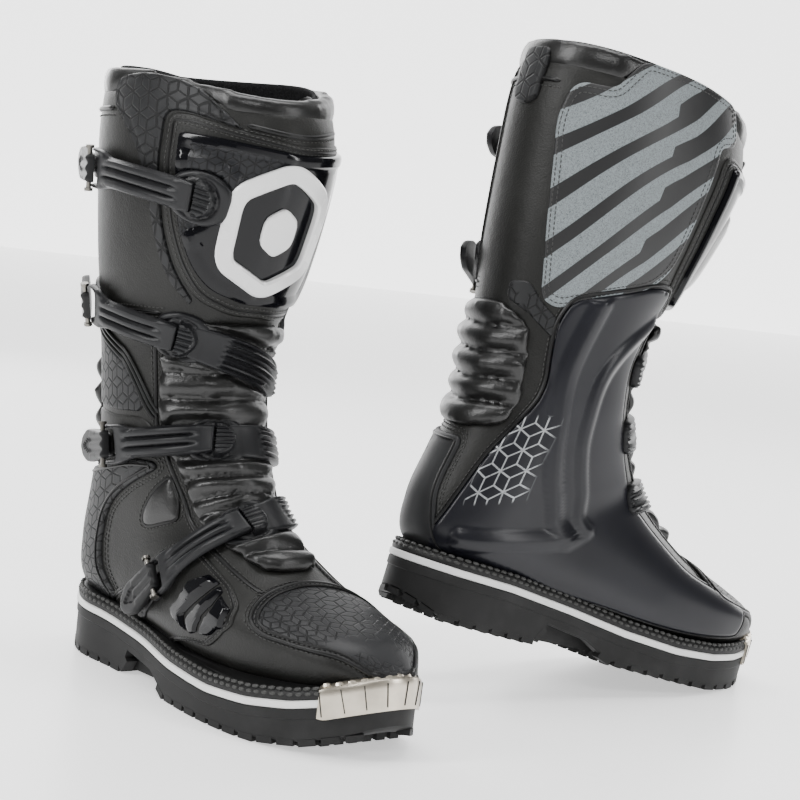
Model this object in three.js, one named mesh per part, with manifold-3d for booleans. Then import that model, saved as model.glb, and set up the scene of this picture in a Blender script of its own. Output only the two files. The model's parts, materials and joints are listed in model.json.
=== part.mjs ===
// A pair of buckled off-road riding boots, in millimetres, +Z up.
// The right boot stands flat and the left boot is tipped forward onto its toe.
// One boot is made in its own frame: x runs forward from the back of the heel, z up from the floor,
// and the outer side of the leg, where the buckles are, is at -y. The left boot is its mirror image.
// Every hinge is an empty group whose origin lies on the hinge and whose own z axis is the hinge's axis.
import * as THREE from "three";
import { mergeVertices } from "three/addons/utils/BufferGeometryUtils.js";
import Module from "manifold-3d";

const wasm = await Module();
wasm.setup();

// ---- driving sizes ----
const bootLength = 310; // heel to toe of the sole
const bootHeight = 388; // floor to the top of the collar
const calfWidth = 128; // across the widest part of the leg
const footWidth = 108; // across the ball of the foot
const ankleHeight = 165; // height of the flex axis
const ankleForward = 75; // flex axis, forward from the heel
const wall = 4; // thickness of the upper
const gap = 0.4; // clearance between pieces that lie on each other
const flexGap = [166, 224]; // heights between which the bellows close the ankle
const bellowsClearance = 0.5;
const midsoleBelow = 7; // midsole under the foot
const ledgeAbove = 4; // rim of the midsole round the foot
const footbedThickness = 4;
const platingThickness = 5; // shin plate
const guardThickness = 3; // toe pad, heel counter and inner guard
const blockThickness = 4.5;
const toePlateThickness = 1.8;
const collarHeight = 24;
const collarThickness = 13;
const strapWidth = 20;
const strapThickness = 3.6;
const leverLength = 42;
const leverWidth = 22;
const leverThickness = 5;
const anchorLength = 26;
const anchorWidth = 25;
const anchorThickness = 3.4;
const baseWidth = 19;
const baseThickness = 3;
const pinInset = 4.5; // lever pin, from the lever's front end
const leverBehind = 2; // clearance between a strap's end and its lever
const baseBehind = 11; // a base starts this far behind its strap's end
const baseShort = 5; // and ends this far before its lever's length is reached
const strapLift = 1.3; // air between a strap and what it lies over
const leverLift = 1.6; // the lever's underside, above the underside of the strap's end
const tipAngle = 13; // the left boot's heel is raised by this angle, in degrees
const rightTurn = -50; // heading of each boot, in degrees
const leftTurn = 35;
const leftPlace = [211, 107]; // middle of the left boot, from the middle of the right one

// ---- the shape of the leg and foot ----
// Sections from the collar down the leg, round the heel and out to the toe, as drawn on the size that
// the reference values name. front and back are [x, z] of the section's two ends, half is its half
// width outward and inward, square is the squareness of its front and back, and shift moves it inward.
const reference = { length: 310, height: 388, calf: 128, foot: 108 };
const sections = [
  { front: [160, 387], back: [-8, 383], half: [60, 60], square: [2, 2.2], shift: 0 },
  { front: [172, 352], back: [-10, 345], half: [64, 64], square: [2, 2.2], shift: 0 },
  { front: [169, 318], back: [-6, 305], half: [63, 63], square: [2, 2.2], shift: 0 },
  { front: [153, 268], back: [1, 255], half: [58, 58], square: [2, 2.2], shift: 0 },
  { front: [138, 232], back: [9, 210], half: [51, 51], square: [2, 2.2], shift: 0 },
  { front: [134, 200], back: [12, 175], half: [47, 47], square: [2, 2.2], shift: 0 },
  { front: [138, 170], back: [15, 138], half: [45, 45], square: [2.1, 2.2], shift: 0 },
  { front: [149, 148], back: [8, 104], half: [43, 43], square: [2.2, 2.3], shift: 0 },
  { front: [161, 131], back: [3, 70], half: [41, 41], square: [2.3, 2.6], shift: 0 },
  { front: [170, 120], back: [14, 43], half: [40, 40], square: [2.3, 3.2], shift: 0 },
  { front: [184, 107], back: [66, 37], half: [43, 41], square: [2.3, 4], shift: 1 },
  { front: [202, 95], back: [118, 33], half: [48, 44], square: [2.3, 4], shift: 2 },
  { front: [220, 85], back: [165, 28], half: [52, 47], square: [2.3, 4], shift: 3 },
  { front: [241, 77], back: [210, 26], half: [50, 46], square: [2.4, 4], shift: 5 },
  { front: [263, 70], back: [246, 28], half: [44, 42], square: [2.5, 4], shift: 7 },
  { front: [287, 62], back: [274, 32], half: [35, 34], square: [2.6, 3.6], shift: 8 },
  { front: [303, 50], back: [293, 37], half: [22, 22], square: [2.6, 3], shift: 8 },
];
const lastSection = sections.length - 1;
const heelSection = 9; // the section that crosses the back of the heel; the ones after it stand on the sole
const legSections = 5; // sections 0 to this one are the leg
const coarseRows = [0, 1, 2, 3, 4, 11, 12, 13, 14, 15, 16];
const fineRows = [4.5, 5, 5.5, 6, 6.5, 7, 7.5, 8, 8.5, 9, 9.5, 10];
const rows = [...coarseRows, ...fineRows].sort((a, b) => a - b);
const sides = 20;
const riseAbove = 12; // the skin runs on this far above the collar
const noseLength = 4; // and this far beyond the last section
const noseTaper = 0.45;

// A point of the side view, moved from the reference size to this boot's size.
function sideView(x, z) {
  const stretch = (bootHeight - ankleHeight) / (reference.height - ankleHeight);
  const above = Math.max(0, z - ankleHeight);
  return [(x * bootLength) / reference.length, z + above * (stretch - 1)];
}

function halfWidth(value, section) {
  const foot = Math.min(1, Math.max(0, (section - legSections) / (heelSection - legSections)));
  return value * ((1 - foot) * (calfWidth / reference.calf) + foot * (footWidth / reference.foot));
}

const numbers = sections.map((s, i) => [
  ...sideView(...s.front),
  ...sideView(...s.back),
  halfWidth(s.half[0], i),
  halfWidth(s.half[1], i),
  ...s.square,
  s.shift,
]);

// The section at a place between two sections, smoothly.
function sectionAt(row) {
  const i = Math.min(lastSection - 1, Math.max(0, Math.floor(row)));
  const t = row - i;
  const [a, b, c, d] = [Math.max(0, i - 1), i, i + 1, Math.min(lastSection, i + 2)].map((k) => numbers[k]);
  return b.map((value, k) => {
    const cubic = 3 * (value - c[k]) + d[k] - a[k];
    const square = 2 * a[k] - 5 * value + 4 * c[k] - d[k];
    return value + 0.5 * t * (c[k] - a[k] + t * (square + t * cubic));
  });
}

const power = (value, exponent) => Math.sign(value) * Math.abs(value) ** exponent;

// A point of the outer skin. angle is 0 at the front and 180 at the back, positive on the outer side.
function bare(row, angle) {
  const [fx, fz, bx, bz, outer, inner, squareFront, squareBack, shift] = sectionAt(row);
  const turn = THREE.MathUtils.degToRad(angle);
  const square = Math.cos(turn) > 0 ? squareFront : squareBack;
  const along = 0.5 * (1 + power(Math.cos(turn), 2 / square));
  const across = power(Math.sin(turn), 2 / square) * (angle > 0 ? outer : inner);
  return new THREE.Vector3(bx + (fx - bx) * along, shift - across, bz + (fz - bz) * along);
}

function outward(row, angle) {
  const step = 0.05;
  const down = bare(Math.min(row + step, lastSection), angle).sub(bare(Math.max(row - step, 0), angle));
  const round = bare(row, angle + 3).sub(bare(row, angle - 3));
  return down.cross(round).normalize().negate();
}

// A point that lies lift above the skin.
function skin(row, angle, lift = 0) {
  return bare(row, angle).addScaledVector(outward(row, angle), lift);
}

// ---- solids ----
function geometryOf(points, faces) {
  const made = new THREE.BufferGeometry();
  const numbersOf = points.flatMap((p) => p.toArray());
  made.setAttribute("position", new THREE.Float32BufferAttribute(numbersOf, 3));
  made.setIndex(faces.flat());
  return made;
}

function solid(geometry) {
  const bareGeometry = geometry.clone();
  bareGeometry.deleteAttribute("normal");
  bareGeometry.deleteAttribute("uv");
  const merged = mergeVertices(bareGeometry, 1e-4);
  return new wasm.Manifold(
    new wasm.Mesh({
      numProp: 3,
      vertProperties: new Float32Array(merged.attributes.position.array),
      triVerts: new Uint32Array(merged.index.array),
    }),
  );
}

function geometryFrom(body) {
  const mesh = body.getMesh();
  const made = new THREE.BufferGeometry();
  made.setAttribute("position", new THREE.BufferAttribute(new Float32Array(mesh.vertProperties), 3));
  made.setIndex(new THREE.BufferAttribute(new Uint32Array(mesh.triVerts), 1));
  return made;
}

// Closed rings of points, joined one to the next, with a fan over each end or joined end to end.
function loft(rings, closed = false) {
  const count = rings[0].length;
  const points = rings.flat();
  const faces = [];
  const last = closed ? rings.length : rings.length - 1;
  for (let i = 0; i < last; i++)
    for (let j = 0; j < count; j++) {
      const a = i * count + j;
      const b = i * count + ((j + 1) % count);
      const below = ((i + 1) % rings.length) * count - i * count;
      faces.push([a, a + below, b], [b, a + below, b + below]);
    }
  if (!closed)
    for (const [ring, forward] of [[0, true], [rings.length - 1, false]]) {
      const middle = points.length;
      points.push(rings[ring].reduce((sum, p) => sum.add(p), new THREE.Vector3()).divideScalar(count));
      for (let j = 0; j < count; j++) {
        const a = ring * count + j;
        const b = ring * count + ((j + 1) % count);
        faces.push(forward ? [middle, a, b] : [middle, b, a]);
      }
    }
  let body = solid(geometryOf(points, faces));
  if (body.volume() < 0) body = solid(geometryOf(points, faces.map(([a, b, c]) => [a, c, b])));
  return body;
}

// The whole leg and foot as one solid whose surface lies lift above the skin.
function filled(lift) {
  const rings = rows.map((row) =>
    Array.from({ length: sides }, (_, j) => skin(row, (j * 360) / sides - 180 + 0.001, lift)),
  );
  // The collar end runs on straight up, so that a solid that lies deeper still reaches the top.
  const rise = new THREE.Vector3(0, 0, riseAbove);
  rings.unshift(rings[0].map((p) => p.clone().add(rise)));
  // The toe closes over a smaller ring in front of the last section.
  const toe = rings[rings.length - 1];
  const middle = toe.reduce((sum, p) => sum.add(p), new THREE.Vector3()).divideScalar(sides);
  const nose = new THREE.Vector3(noseLength + lift, 0, -0.5);
  rings.push(toe.map((p) => p.clone().lerp(middle, noseTaper).add(nose)));
  return loft(rings);
}

const filledAt = new Map();
function body(lift) {
  if (!filledAt.has(lift)) filledAt.set(lift, filled(lift));
  return filledAt.get(lift);
}

const layer = (inner, outer) => body(outer).subtract(body(inner));

// An outline of the side view, made solid from one y to another.
function sideCut(outline, from, to) {
  const shape = new THREE.Shape(outline.map(([x, z]) => new THREE.Vector2(x, z)));
  const made = new THREE.ExtrudeGeometry(shape, { depth: to - from, bevelEnabled: false, curveSegments: 6 });
  made.rotateX(Math.PI / 2);
  made.translate(0, to, 0);
  return solid(made);
}

const farSide = 120;
const view = (outline) => outline.map(([x, z]) => sideView(x, z));
const outerHalf = (outline) => sideCut(view(outline), -farSide, 0.5);
const innerHalf = (outline) => sideCut(view(outline), -0.5, farSide);
const bothHalves = (outline) => sideCut(view(outline), -farSide, farSide);

// Two outlines on a layer over the skin, one for the outer and one for the inner side of the boot.
function panel(thickness, outer, inner) {
  const shell = layer(gap, gap + thickness);
  const halves = [outer && shell.intersect(outerHalf(outer)), inner && shell.intersect(innerHalf(inner))];
  const [first, second] = halves.filter(Boolean);
  return biggest((second ? first.add(second) : first).intersect(aboveSole));
}

// The largest of the bodies that a cut leaves, without stray slivers.
function biggest(made) {
  return made.decompose().reduce((best, one) => (one.volume() > best.volume() ? one : best));
}

// ---- sole ----
// The outline of the sole from above, [x, y], from the heel round the outer side and back.
const soleOutline = [
  [2, 0], [9, -23], [40, -41], [86, -43], [124, -46], [162, -52.5], [204, -56],
  [244, -53], [276, -41], [298, -24], [310, 0], [309, 17], [294, 36], [264, 50],
  [226, 55], [184, 52], [140, 45], [100, 41], [60, 41], [20, 34],
];
const soleSteps = 44;

function outlineFromAbove(grow) {
  const longer = bootLength / reference.length;
  const wider = footWidth / reference.foot;
  const places = soleOutline.map(([x, y]) => new THREE.Vector3(x * longer, y * wider, 0));
  const curve = new THREE.CatmullRomCurve3(places, true, "centripetal");
  const points = [];
  for (let i = 0; i < soleSteps; i++) {
    const p = curve.getPointAt(i / soleSteps);
    const along = curve.getTangentAt(i / soleSteps);
    points.push(new THREE.Vector2(p.x - along.y * -grow, p.y - along.x * grow));
  }
  return points;
}

function fromAbove(grow, height) {
  const inside = outlineFromAbove(grow);
  const outline = THREE.ShapeUtils.area(inside) > 0 ? inside : inside.reverse();
  return solid(new THREE.ExtrudeGeometry(new THREE.Shape(outline), { depth: height, bevelEnabled: false }));
}

// The line along which the foot stands in the sole.
const footLine = sections.slice(heelSection).map((s) => s.back);
const heelEnd = -20;
const toeEnd = 340;
const standing = [[heelEnd, 38], [40, 37.5], ...footLine.slice(1), [toeEnd, 58]];
const raised = (by) => standing.map(([x, z]) => [x, z + by]);
// The underside: raised rear edge, flat heel, step, arch, flat forefoot and rising toe.
const underside = [
  [heelEnd, 20], [2, 9], [20, 0], [98, 0], [103, 13], [138, 9], [158, 0],
  [250, 0], [280, 4], [300, 11], [315, 20], [toeEnd, 34],
];
const soleHeight = 70;

function outsole() {
  const profile = [...underside, ...raised(-midsoleBelow - gap).reverse()];
  return biggest(fromAbove(0, soleHeight).intersect(bothHalves(profile)));
}

function midsole() {
  const profile = [...raised(-midsoleBelow), ...raised(ledgeAbove).reverse()];
  return biggest(fromAbove(0, soleHeight).intersect(bothHalves(profile)).subtract(body(gap)));
}

function toePlate() {
  const from = 274;
  const profile = [[from + 8, 12], [300, 16], [320, 26], [toeEnd, 36], [toeEnd, 56], [300, 44], [from, 37]];
  const band = fromAbove(gap + toePlateThickness, soleHeight).subtract(fromAbove(gap, soleHeight));
  return biggest(band.intersect(bothHalves(profile)));
}

const footbedEnd = 286; // the footbed stops short of the toe

function footbed() {
  const inside = -wall - gap;
  const profile = [...raised(-20), ...raised(wall + gap + footbedThickness).reverse()];
  const behindToe = [[heelEnd, 0], [footbedEnd, 0], [footbedEnd, soleHeight], [heelEnd, soleHeight]];
  return biggest(body(inside).intersect(bothHalves(profile)).intersect(bothHalves(behindToe)));
}

// ---- upper ----
const far = 400;
const aboveSole = bothHalves([...raised(ledgeAbove + gap), [toeEnd, far], [heelEnd, far]]);
const [flexLow, flexHigh] = flexGap;

const behind = -50;

function footUpper() {
  const below = [[behind, 0], [far, 0], [far, flexLow], [behind, flexLow]];
  return biggest(layer(-wall, 0).intersect(bothHalves(below)));
}

const collarFoot = 362; // height of the collar's lower edge at the reference size

function shaftUpper() {
  const above = [[behind, flexHigh], [far, flexHigh], [far, collarFoot], [behind, collarFoot]];
  return biggest(layer(-wall, 0).intersect(bothHalves(above)));
}

// Half of the ring that closes the ankle, at the front or the back of the flex axis.
function bellows(front) {
  const middle = ankleForward + (front ? bellowsClearance / 2 : -bellowsClearance / 2);
  const end = front ? far : behind;
  const low = flexLow + bellowsClearance;
  const high = flexHigh - bellowsClearance;
  const half = [[middle, low], [end, low], [end, high], [middle, high]];
  return biggest(layer(-wall, 0).intersect(bothHalves(half)));
}

const collarOut = 2.5; // the collar bulges this far beyond the skin
const collarSquare = 0.8;

function collar() {
  const steps = 28;
  const corners = 8;
  const rings = Array.from({ length: steps }, (_, i) => {
    const angle = (i * 360) / steps - 180 + 0.001;
    const top = skin(0, angle, 0);
    const out = outward(0.2, angle).setZ(0).normalize();
    const foot = sideView(0, collarFoot)[1] + 2 * gap;
    const middle = top.clone().setZ((top.z + foot) / 2 + 1);
    middle.addScaledVector(out, collarOut - collarThickness / 2);
    return Array.from({ length: corners }, (_, j) => {
      const turn = ((j + 0.5) * 2 * Math.PI) / corners;
      return middle
        .clone()
        .addScaledVector(out, (collarThickness / 2) * power(Math.cos(turn), collarSquare))
        .add(new THREE.Vector3(0, 0, ((top.z - foot) / 2) * power(Math.sin(turn), collarSquare)));
    });
  });
  return loft(rings, true);
}

function shinPlate() {
  const outer = [[117, 357], [far, 362], [far, 246], [150, 250], [132, 258], [124, 285], [121, 320]];
  const inner = [[130, 354], [far, 362], [far, 246], [150, 250], [128, 260], [120, 285], [122, 320]];
  return panel(platingThickness, outer, inner);
}

function toePad() {
  const outline = [
    [221, 110], [230, 70], [242, 59], [268, 54], [286, 52], [298, 48.5], [toeEnd, 47], [toeEnd, 110],
  ];
  return panel(guardThickness, outline, outline);
}

function heelCounter() {
  const outer = [[heelEnd, 45], [52, 43.5], [60, 92], [52, 112], [heelEnd, 121]];
  const inner = [[heelEnd, 45], [28, 43.5], [20, 80], [14, 108], [heelEnd, 121]];
  return panel(guardThickness, outer, inner);
}

function medialGuard() {
  const outline = [
    [36, 44], [26, 80], [20, 112], [30, 150], [26, 200], [40, 226], [92, 238], [112, 226], [106, 196],
    [112, 164], [134, 130], [166, 98], [214, 70], [224, 64], [222, 52], [214, 36], [160, 34], [110, 38],
  ];
  return panel(guardThickness, null, outline);
}

function ankleBlock() {
  const outline = [[150, 74], [178, 84], [196, 74], [217, 58], [213, 50], [188, 49], [160, 58]];
  return panel(blockThickness, outline, null);
}

// ---- straps and buckles ----
// A route over the outer skin from one place to another, measured in millimetres from its start.
class Route {
  constructor(from, to) {
    const steps = 60;
    this.points = [];
    this.length = 0;
    for (let i = 0; i <= steps; i++) {
      const row = THREE.MathUtils.lerp(from[0], to[0], i / steps);
      const angle = THREE.MathUtils.lerp(from[1], to[1], i / steps);
      const point = bare(row, angle);
      if (i) this.length += point.distanceTo(this.points[i - 1].point);
      this.points.push({ point, normal: outward(row, angle), at: this.length });
    }
  }

  // The frame at a distance along the route: along it, across it in the surface, and outward.
  frame(distance) {
    let i = this.points.findIndex((p) => p.at >= distance);
    if (i < 0) i = this.points.length - 1;
    i = Math.max(1, i);
    const [a, b] = [this.points[i - 1], this.points[i]];
    const t = (distance - a.at) / (b.at - a.at);
    const point = a.point.clone().lerp(b.point, t);
    const normal = a.normal.clone().lerp(b.normal, Math.min(t, 1)).normalize();
    const tangent = b.point.clone().sub(a.point);
    const along = tangent.addScaledVector(normal, -tangent.dot(normal)).normalize();
    return { point, along, normal, across: along.clone().cross(normal) };
  }
}

// A pad that lies on the body below it all over, with its ends drawn in, and stops above the sole.
const drawnIn = 0.18;
const sunk = 3;
function laid(route, from, to, width, lift, thickness) {
  const made = band(route, from, to, width, () => lift - sunk, thickness + sunk, drawnIn);
  return biggest(made.subtract(body(lift)).intersect(aboveSole));
}

const bandStep = 12;

// A band of one width that follows a route, from lift to lift + thickness above the skin.
function band(route, from, to, width, lift, thickness, roundEnds = 0) {
  const steps = Math.max(2, Math.ceil((to - from) / bandStep));
  const rings = [];
  for (let i = 0; i <= steps; i++) {
    const distance = THREE.MathUtils.lerp(from, to, i / steps);
    const { point, across, normal } = route.frame(distance);
    const half = (width / 2) * (i === 0 || i === steps ? 1 - roundEnds : 1);
    const height = lift(distance);
    const corner = (side, up) =>
      point.clone().addScaledVector(across, side * half).addScaledVector(normal, height + up);
    rings.push([corner(-1, 0), corner(1, 0), corner(1, thickness), corner(-1, thickness)]);
  }
  return loft(rings);
}

// Each buckle: where its strap is held at the front, where its route ends at the back, how long the strap
// is, and how far its anchor lies above the skin, as [section, angle] places.
const buckles = [
  { name: "calf", from: [2.2, 48], to: [1.45, 170], strap: 88, below: gap + platingThickness + gap },
  { name: "shin", from: [4.3, 47], to: [3.1, 170], strap: 72, below: gap },
  { name: "ankle", from: [6.5, 22], to: [6.1, 165], strap: 72, below: gap },
  { name: "instep", from: [9.6, 17], to: [10.75, 130], strap: 62, below: gap },
];

function buckleParts({ name, from, to, strap, below }) {
  const route = new Route(from, to);
  const anchorTop = below + anchorThickness;
  const frontLift = anchorTop + strapLift;
  const backLift = gap + baseThickness + strapLift;
  const reached = (distance) => Math.min(1, Math.max(0, distance / strap));
  const lift = (distance) => THREE.MathUtils.lerp(frontLift, backLift, reached(distance));
  const anchor = laid(route, -anchorLength / 2, anchorLength / 2, anchorWidth, below, anchorThickness);
  const strapBody = band(route, 0, strap, strapWidth, lift, strapThickness);
  const baseEnd = strap + leverLength - baseShort;
  const base = laid(route, strap + baseBehind, baseEnd, baseWidth, gap, baseThickness);
  // The lever is straight: it lies along the boot at its own middle, one pin inset behind the strap's end.
  const middle = route.frame(strap + leverBehind + leverLength / 2);
  const leverMiddle = backLift + leverLift + leverThickness / 2;
  const centre = middle.point.clone().addScaledVector(middle.normal, leverMiddle);
  const pin = centre.clone().addScaledVector(middle.along, pinInset - leverLength / 2);
  const slotFrame = route.frame(0);
  const slot = slotFrame.point.clone().addScaledVector(slotFrame.normal, frontLift + strapThickness / 2);
  return {
    name,
    anchor,
    strapBody,
    base,
    lever: lever(),
    leverPlace: basis(middle.along, middle.normal, centre),
    swing: hinge(slot, slotFrame.along.clone().cross(slotFrame.normal)),
    flip: hinge(pin, middle.along.clone().cross(middle.normal)),
  };
}

const tipLength = 12;

// The lever in its own frame: x along it, from the pin to the tip, z outward.
function lever() {
  const half = leverWidth / 2;
  const end = leverLength / 2;
  const shape = new THREE.Shape();
  shape.moveTo(-end, -half * 0.8);
  shape.lineTo(end - tipLength, -half);
  shape.lineTo(end - tipLength / 4, -half * 0.6);
  shape.lineTo(end, 0);
  shape.lineTo(end - tipLength / 4, half * 0.6);
  shape.lineTo(end - tipLength, half);
  shape.lineTo(-end, half * 0.8);
  const made = new THREE.ExtrudeGeometry(shape, { depth: leverThickness, bevelEnabled: false });
  made.translate(0, 0, -leverThickness / 2);
  return made;
}

// A placing matrix from the directions of x and z, and the origin.
function basis(alongX, alongZ, origin) {
  const x = alongX.clone().normalize();
  const z = alongZ.clone().addScaledVector(x, -alongZ.dot(x)).normalize();
  return new THREE.Matrix4().makeBasis(x, z.clone().cross(x), z).setPosition(origin);
}

// An empty group on a hinge, with its z axis along the hinge.
function hinge(origin, axis) {
  const group = new THREE.Group();
  const side = Math.abs(axis.z) < 0.9 ? new THREE.Vector3(0, 0, 1) : new THREE.Vector3(1, 0, 0);
  group.applyMatrix4(basis(side.cross(axis), axis, origin));
  return group;
}

// ---- materials ----
const finish = (color, roughness, metalness = 0) =>
  new THREE.MeshStandardMaterial({ color, roughness, metalness });
const leather = finish(0x2b2b29, 0.5);
const rubber = finish(0x161616, 0.75);
const white = finish(0xe8e8e6, 0.5);
const glossPlastic = finish(0x14151a, 0.2);
const mattePlastic = finish(0x222327, 0.45);
const softPlastic = finish(0x2c2d34, 0.4);
const nickel = finish(0xc9c4b4, 0.3, 1);
const fabric = finish(0x1b1b1b, 0.9);

// ---- one boot ----
function boot(side) {
  const group = new THREE.Group();
  const add = (name, geometry, material) => {
    const mesh = new THREE.Mesh(geometry, material);
    mesh.name = `${side}_${name}`;
    group.add(mesh);
    return mesh;
  };
  const addBody = (name, made, material) => add(name, geometryFrom(made), material);
  addBody("outsole", outsole(), rubber);
  addBody("midsole", midsole(), white);
  addBody("footbed", footbed(), fabric);
  addBody("toe_plate", toePlate(), nickel);
  addBody("foot_upper", footUpper(), leather);
  addBody("front_bellows", bellows(true), leather);
  addBody("rear_bellows", bellows(false), leather);
  addBody("shaft_upper", shaftUpper(), leather);
  addBody("collar", collar(), leather);
  addBody("shin_plate", shinPlate(), glossPlastic);
  addBody("toe_pad", toePad(), mattePlastic);
  addBody("heel_counter", heelCounter(), mattePlastic);
  addBody("medial_guard", medialGuard(), softPlastic);
  addBody("ankle_block", ankleBlock(), glossPlastic);
  for (const parts of buckles.map(buckleParts)) {
    addBody(`${parts.name}_anchor`, parts.anchor, mattePlastic);
    addBody(`${parts.name}_strap`, parts.strapBody, mattePlastic);
    addBody(`${parts.name}_base`, parts.base, mattePlastic);
    add(`${parts.name}_lever`, parts.lever, glossPlastic).applyMatrix4(parts.leverPlace);
    parts.swing.name = `${side}_${parts.name}_strap_swing`;
    parts.flip.name = `${side}_${parts.name}_lever_flip`;
    group.add(parts.swing, parts.flip);
  }
  const flex = hinge(new THREE.Vector3(ankleForward, 0, ankleHeight), new THREE.Vector3(0, 1, 0));
  flex.name = `${side}_ankle_flex`;
  group.add(flex);
  return group;
}

const middleAt = 0.45; // a boot's middle, as a share of its length

// Turns a boot about its middle, which comes to stand at place.
function stand(made, turn, place) {
  const placed = new THREE.Group();
  made.position.x = -bootLength * middleAt;
  placed.add(made);
  placed.rotation.z = THREE.MathUtils.degToRad(turn);
  placed.position.set(place[0], place[1], 0);
  return placed;
}

// Tips a boot forward about the line where its sole's plane meets the floor when the toe carries it.
function tipped(made, angle) {
  const slope = Math.tan(THREE.MathUtils.degToRad(angle));
  const meets = Math.max(...underside.map(([x, z]) => sideView(x, z)).map(([x, z]) => x - z / slope));
  const line = hinge(new THREE.Vector3(), new THREE.Vector3(0, -1, 0));
  line.name = "left_boot_tip";
  const turned = new THREE.Group();
  turned.rotation.y = THREE.MathUtils.degToRad(angle);
  turned.position.x = meets;
  made.position.x = -meets;
  turned.add(made, line);
  return turned;
}

const left = boot("left");
left.scale.y = -1;
const leftTipped = new THREE.Group();
leftTipped.add(tipped(left, tipAngle));

const pair = new THREE.Group();
pair.add(stand(boot("right"), rightTurn, [0, 0]), stand(leftTipped, leftTurn, leftPlace));
pair.updateMatrixWorld(true);
const box = new THREE.Box3().setFromObject(pair, true);
const centre = box.getCenter(new THREE.Vector3());
pair.position.set(-centre.x, -centre.y, -box.min.z);

const ridingBoots = new THREE.Group();
ridingBoots.add(pair);

export default ridingBoots;
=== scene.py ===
"""A pair of buckled off-road riding boots, finished round its CAD model.

One boot is drawn in its own frame, in millimetres: x forward from the heel, z up from the floor, the
outer side of the leg at -y. Every piece is made once and placed twice, on the right boot as it is and
on the left boot mirrored. A place on the boot is a (row, angle) pair: rows run from the collar, 0, down
the leg and out to the toe, 16; angles are degrees round the boot, 0 at the front, 180 at the back,
positive on the outer side. Outlines are drawn in a flat chart of the skin, (angle, row) at DEGREE_MM
and ROW_MM, and every lift is in millimetres above the skin.
"""

import json
import math

import bmesh
import bpy
import numpy as np
from mathutils import Matrix, Vector, geometry
from mathutils.kdtree import KDTree


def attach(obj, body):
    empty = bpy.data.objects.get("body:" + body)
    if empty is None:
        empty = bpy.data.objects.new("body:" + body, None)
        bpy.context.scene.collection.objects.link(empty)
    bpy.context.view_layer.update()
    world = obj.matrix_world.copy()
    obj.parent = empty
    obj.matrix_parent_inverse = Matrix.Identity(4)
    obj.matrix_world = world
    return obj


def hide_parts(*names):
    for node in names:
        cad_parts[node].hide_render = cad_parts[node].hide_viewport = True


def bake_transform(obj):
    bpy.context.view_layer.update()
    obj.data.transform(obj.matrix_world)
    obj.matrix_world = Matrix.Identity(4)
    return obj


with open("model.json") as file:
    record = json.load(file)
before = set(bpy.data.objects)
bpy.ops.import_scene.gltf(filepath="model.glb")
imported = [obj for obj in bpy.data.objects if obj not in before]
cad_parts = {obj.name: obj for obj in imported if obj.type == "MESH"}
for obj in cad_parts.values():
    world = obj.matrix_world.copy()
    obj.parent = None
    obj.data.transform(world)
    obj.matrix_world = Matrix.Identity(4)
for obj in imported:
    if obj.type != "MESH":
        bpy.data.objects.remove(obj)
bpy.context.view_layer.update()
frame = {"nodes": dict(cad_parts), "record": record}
MM = 0.001

# ---------------------------------------------------------------- the boots' own frames
HEEL_REST_X = 60.0  # where the heel's rest point lies, forward of the back of the sole, mm
FLEX_X, FLEX_LOW, FLEX_HIGH = 75.0, 168.0, 232.0  # where an ankle bend would lie: its x and the heights it would span, mm; fasten computes points from them and uses none


def boot_frame(side):
    """The matrix from a boot's own millimetres to the shared frame, mirrored for the left boot."""
    mounts = {m["name"]: m for m in frame["record"]["mounts"]}
    heel = Vector(mounts[side + "_heel_rest"]["pos_m"])
    toe = Vector(mounts[side + "_forefoot_rest"]["pos_m"])
    up = -Vector(mounts[side + "_heel_rest"]["axis"]).normalized()
    ahead = (toe - heel).normalized()
    across = up.cross(ahead) * (-1 if side == "left" else 1)
    axes = Matrix((ahead * MM, across * MM, up * MM)).transposed().to_4x4()
    return Matrix.Translation(heel - ahead * HEEL_REST_X * MM) @ axes


SIDES = {side: boot_frame(side) for side in ("right", "left")}

# ---------------------------------------------------------------- the leg's and foot's skin
# front x, z; back x, z; half width outward, inward; squareness front, back; shift inward
SECTIONS = np.array([
    [160, 387, -8, 383, 60, 60, 2.0, 2.2, 0],
    [172, 352, -10, 345, 64, 64, 2.0, 2.2, 0],
    [169, 318, -6, 305, 63, 63, 2.0, 2.2, 0],
    [153, 268, 1, 255, 58, 58, 2.0, 2.2, 0],
    [138, 232, 9, 210, 51, 51, 2.0, 2.2, 0],
    [134, 200, 12, 175, 47, 47, 2.0, 2.2, 0],
    [138, 170, 15, 138, 45, 45, 2.1, 2.2, 0],
    [149, 148, 8, 104, 43, 43, 2.2, 2.3, 0],
    [161, 131, 3, 70, 41, 41, 2.3, 2.6, 0],
    [170, 120, 14, 43, 40, 40, 2.3, 3.2, 0],
    [184, 107, 66, 37, 43, 41, 2.3, 4.0, 1],
    [202, 95, 118, 33, 48, 44, 2.3, 4.0, 2],
    [220, 85, 165, 28, 52, 47, 2.3, 4.0, 3],
    [241, 77, 210, 26, 50, 46, 2.4, 4.0, 5],
    [263, 70, 246, 28, 44, 42, 2.5, 4.0, 7],
    [287, 62, 274, 32, 35, 34, 2.6, 3.6, 8],
    [303, 50, 293, 37, 22, 22, 2.6, 3.0, 8],
], float)
LAST = len(SECTIONS) - 1
NOSE = np.array([7.0, 0.0, -0.5])  # how far the toe runs on past its last section
RIM_DIP, RIM_DIP_AT, RIM_DIP_SPREAD, RIM_DIP_ROWS = 16.0, 12.0, 42.0, 1.6  # mm, degrees, degrees, rows


def curve_between(a, b, c, d, t):
    """The point a share t of the way from b to c, on a smooth curve that passes through all four."""
    return b + 0.5 * t * (c - a + t * (2 * a - 5 * b + 4 * c - d + t * (3 * (b - c) + d - a)))


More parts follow.
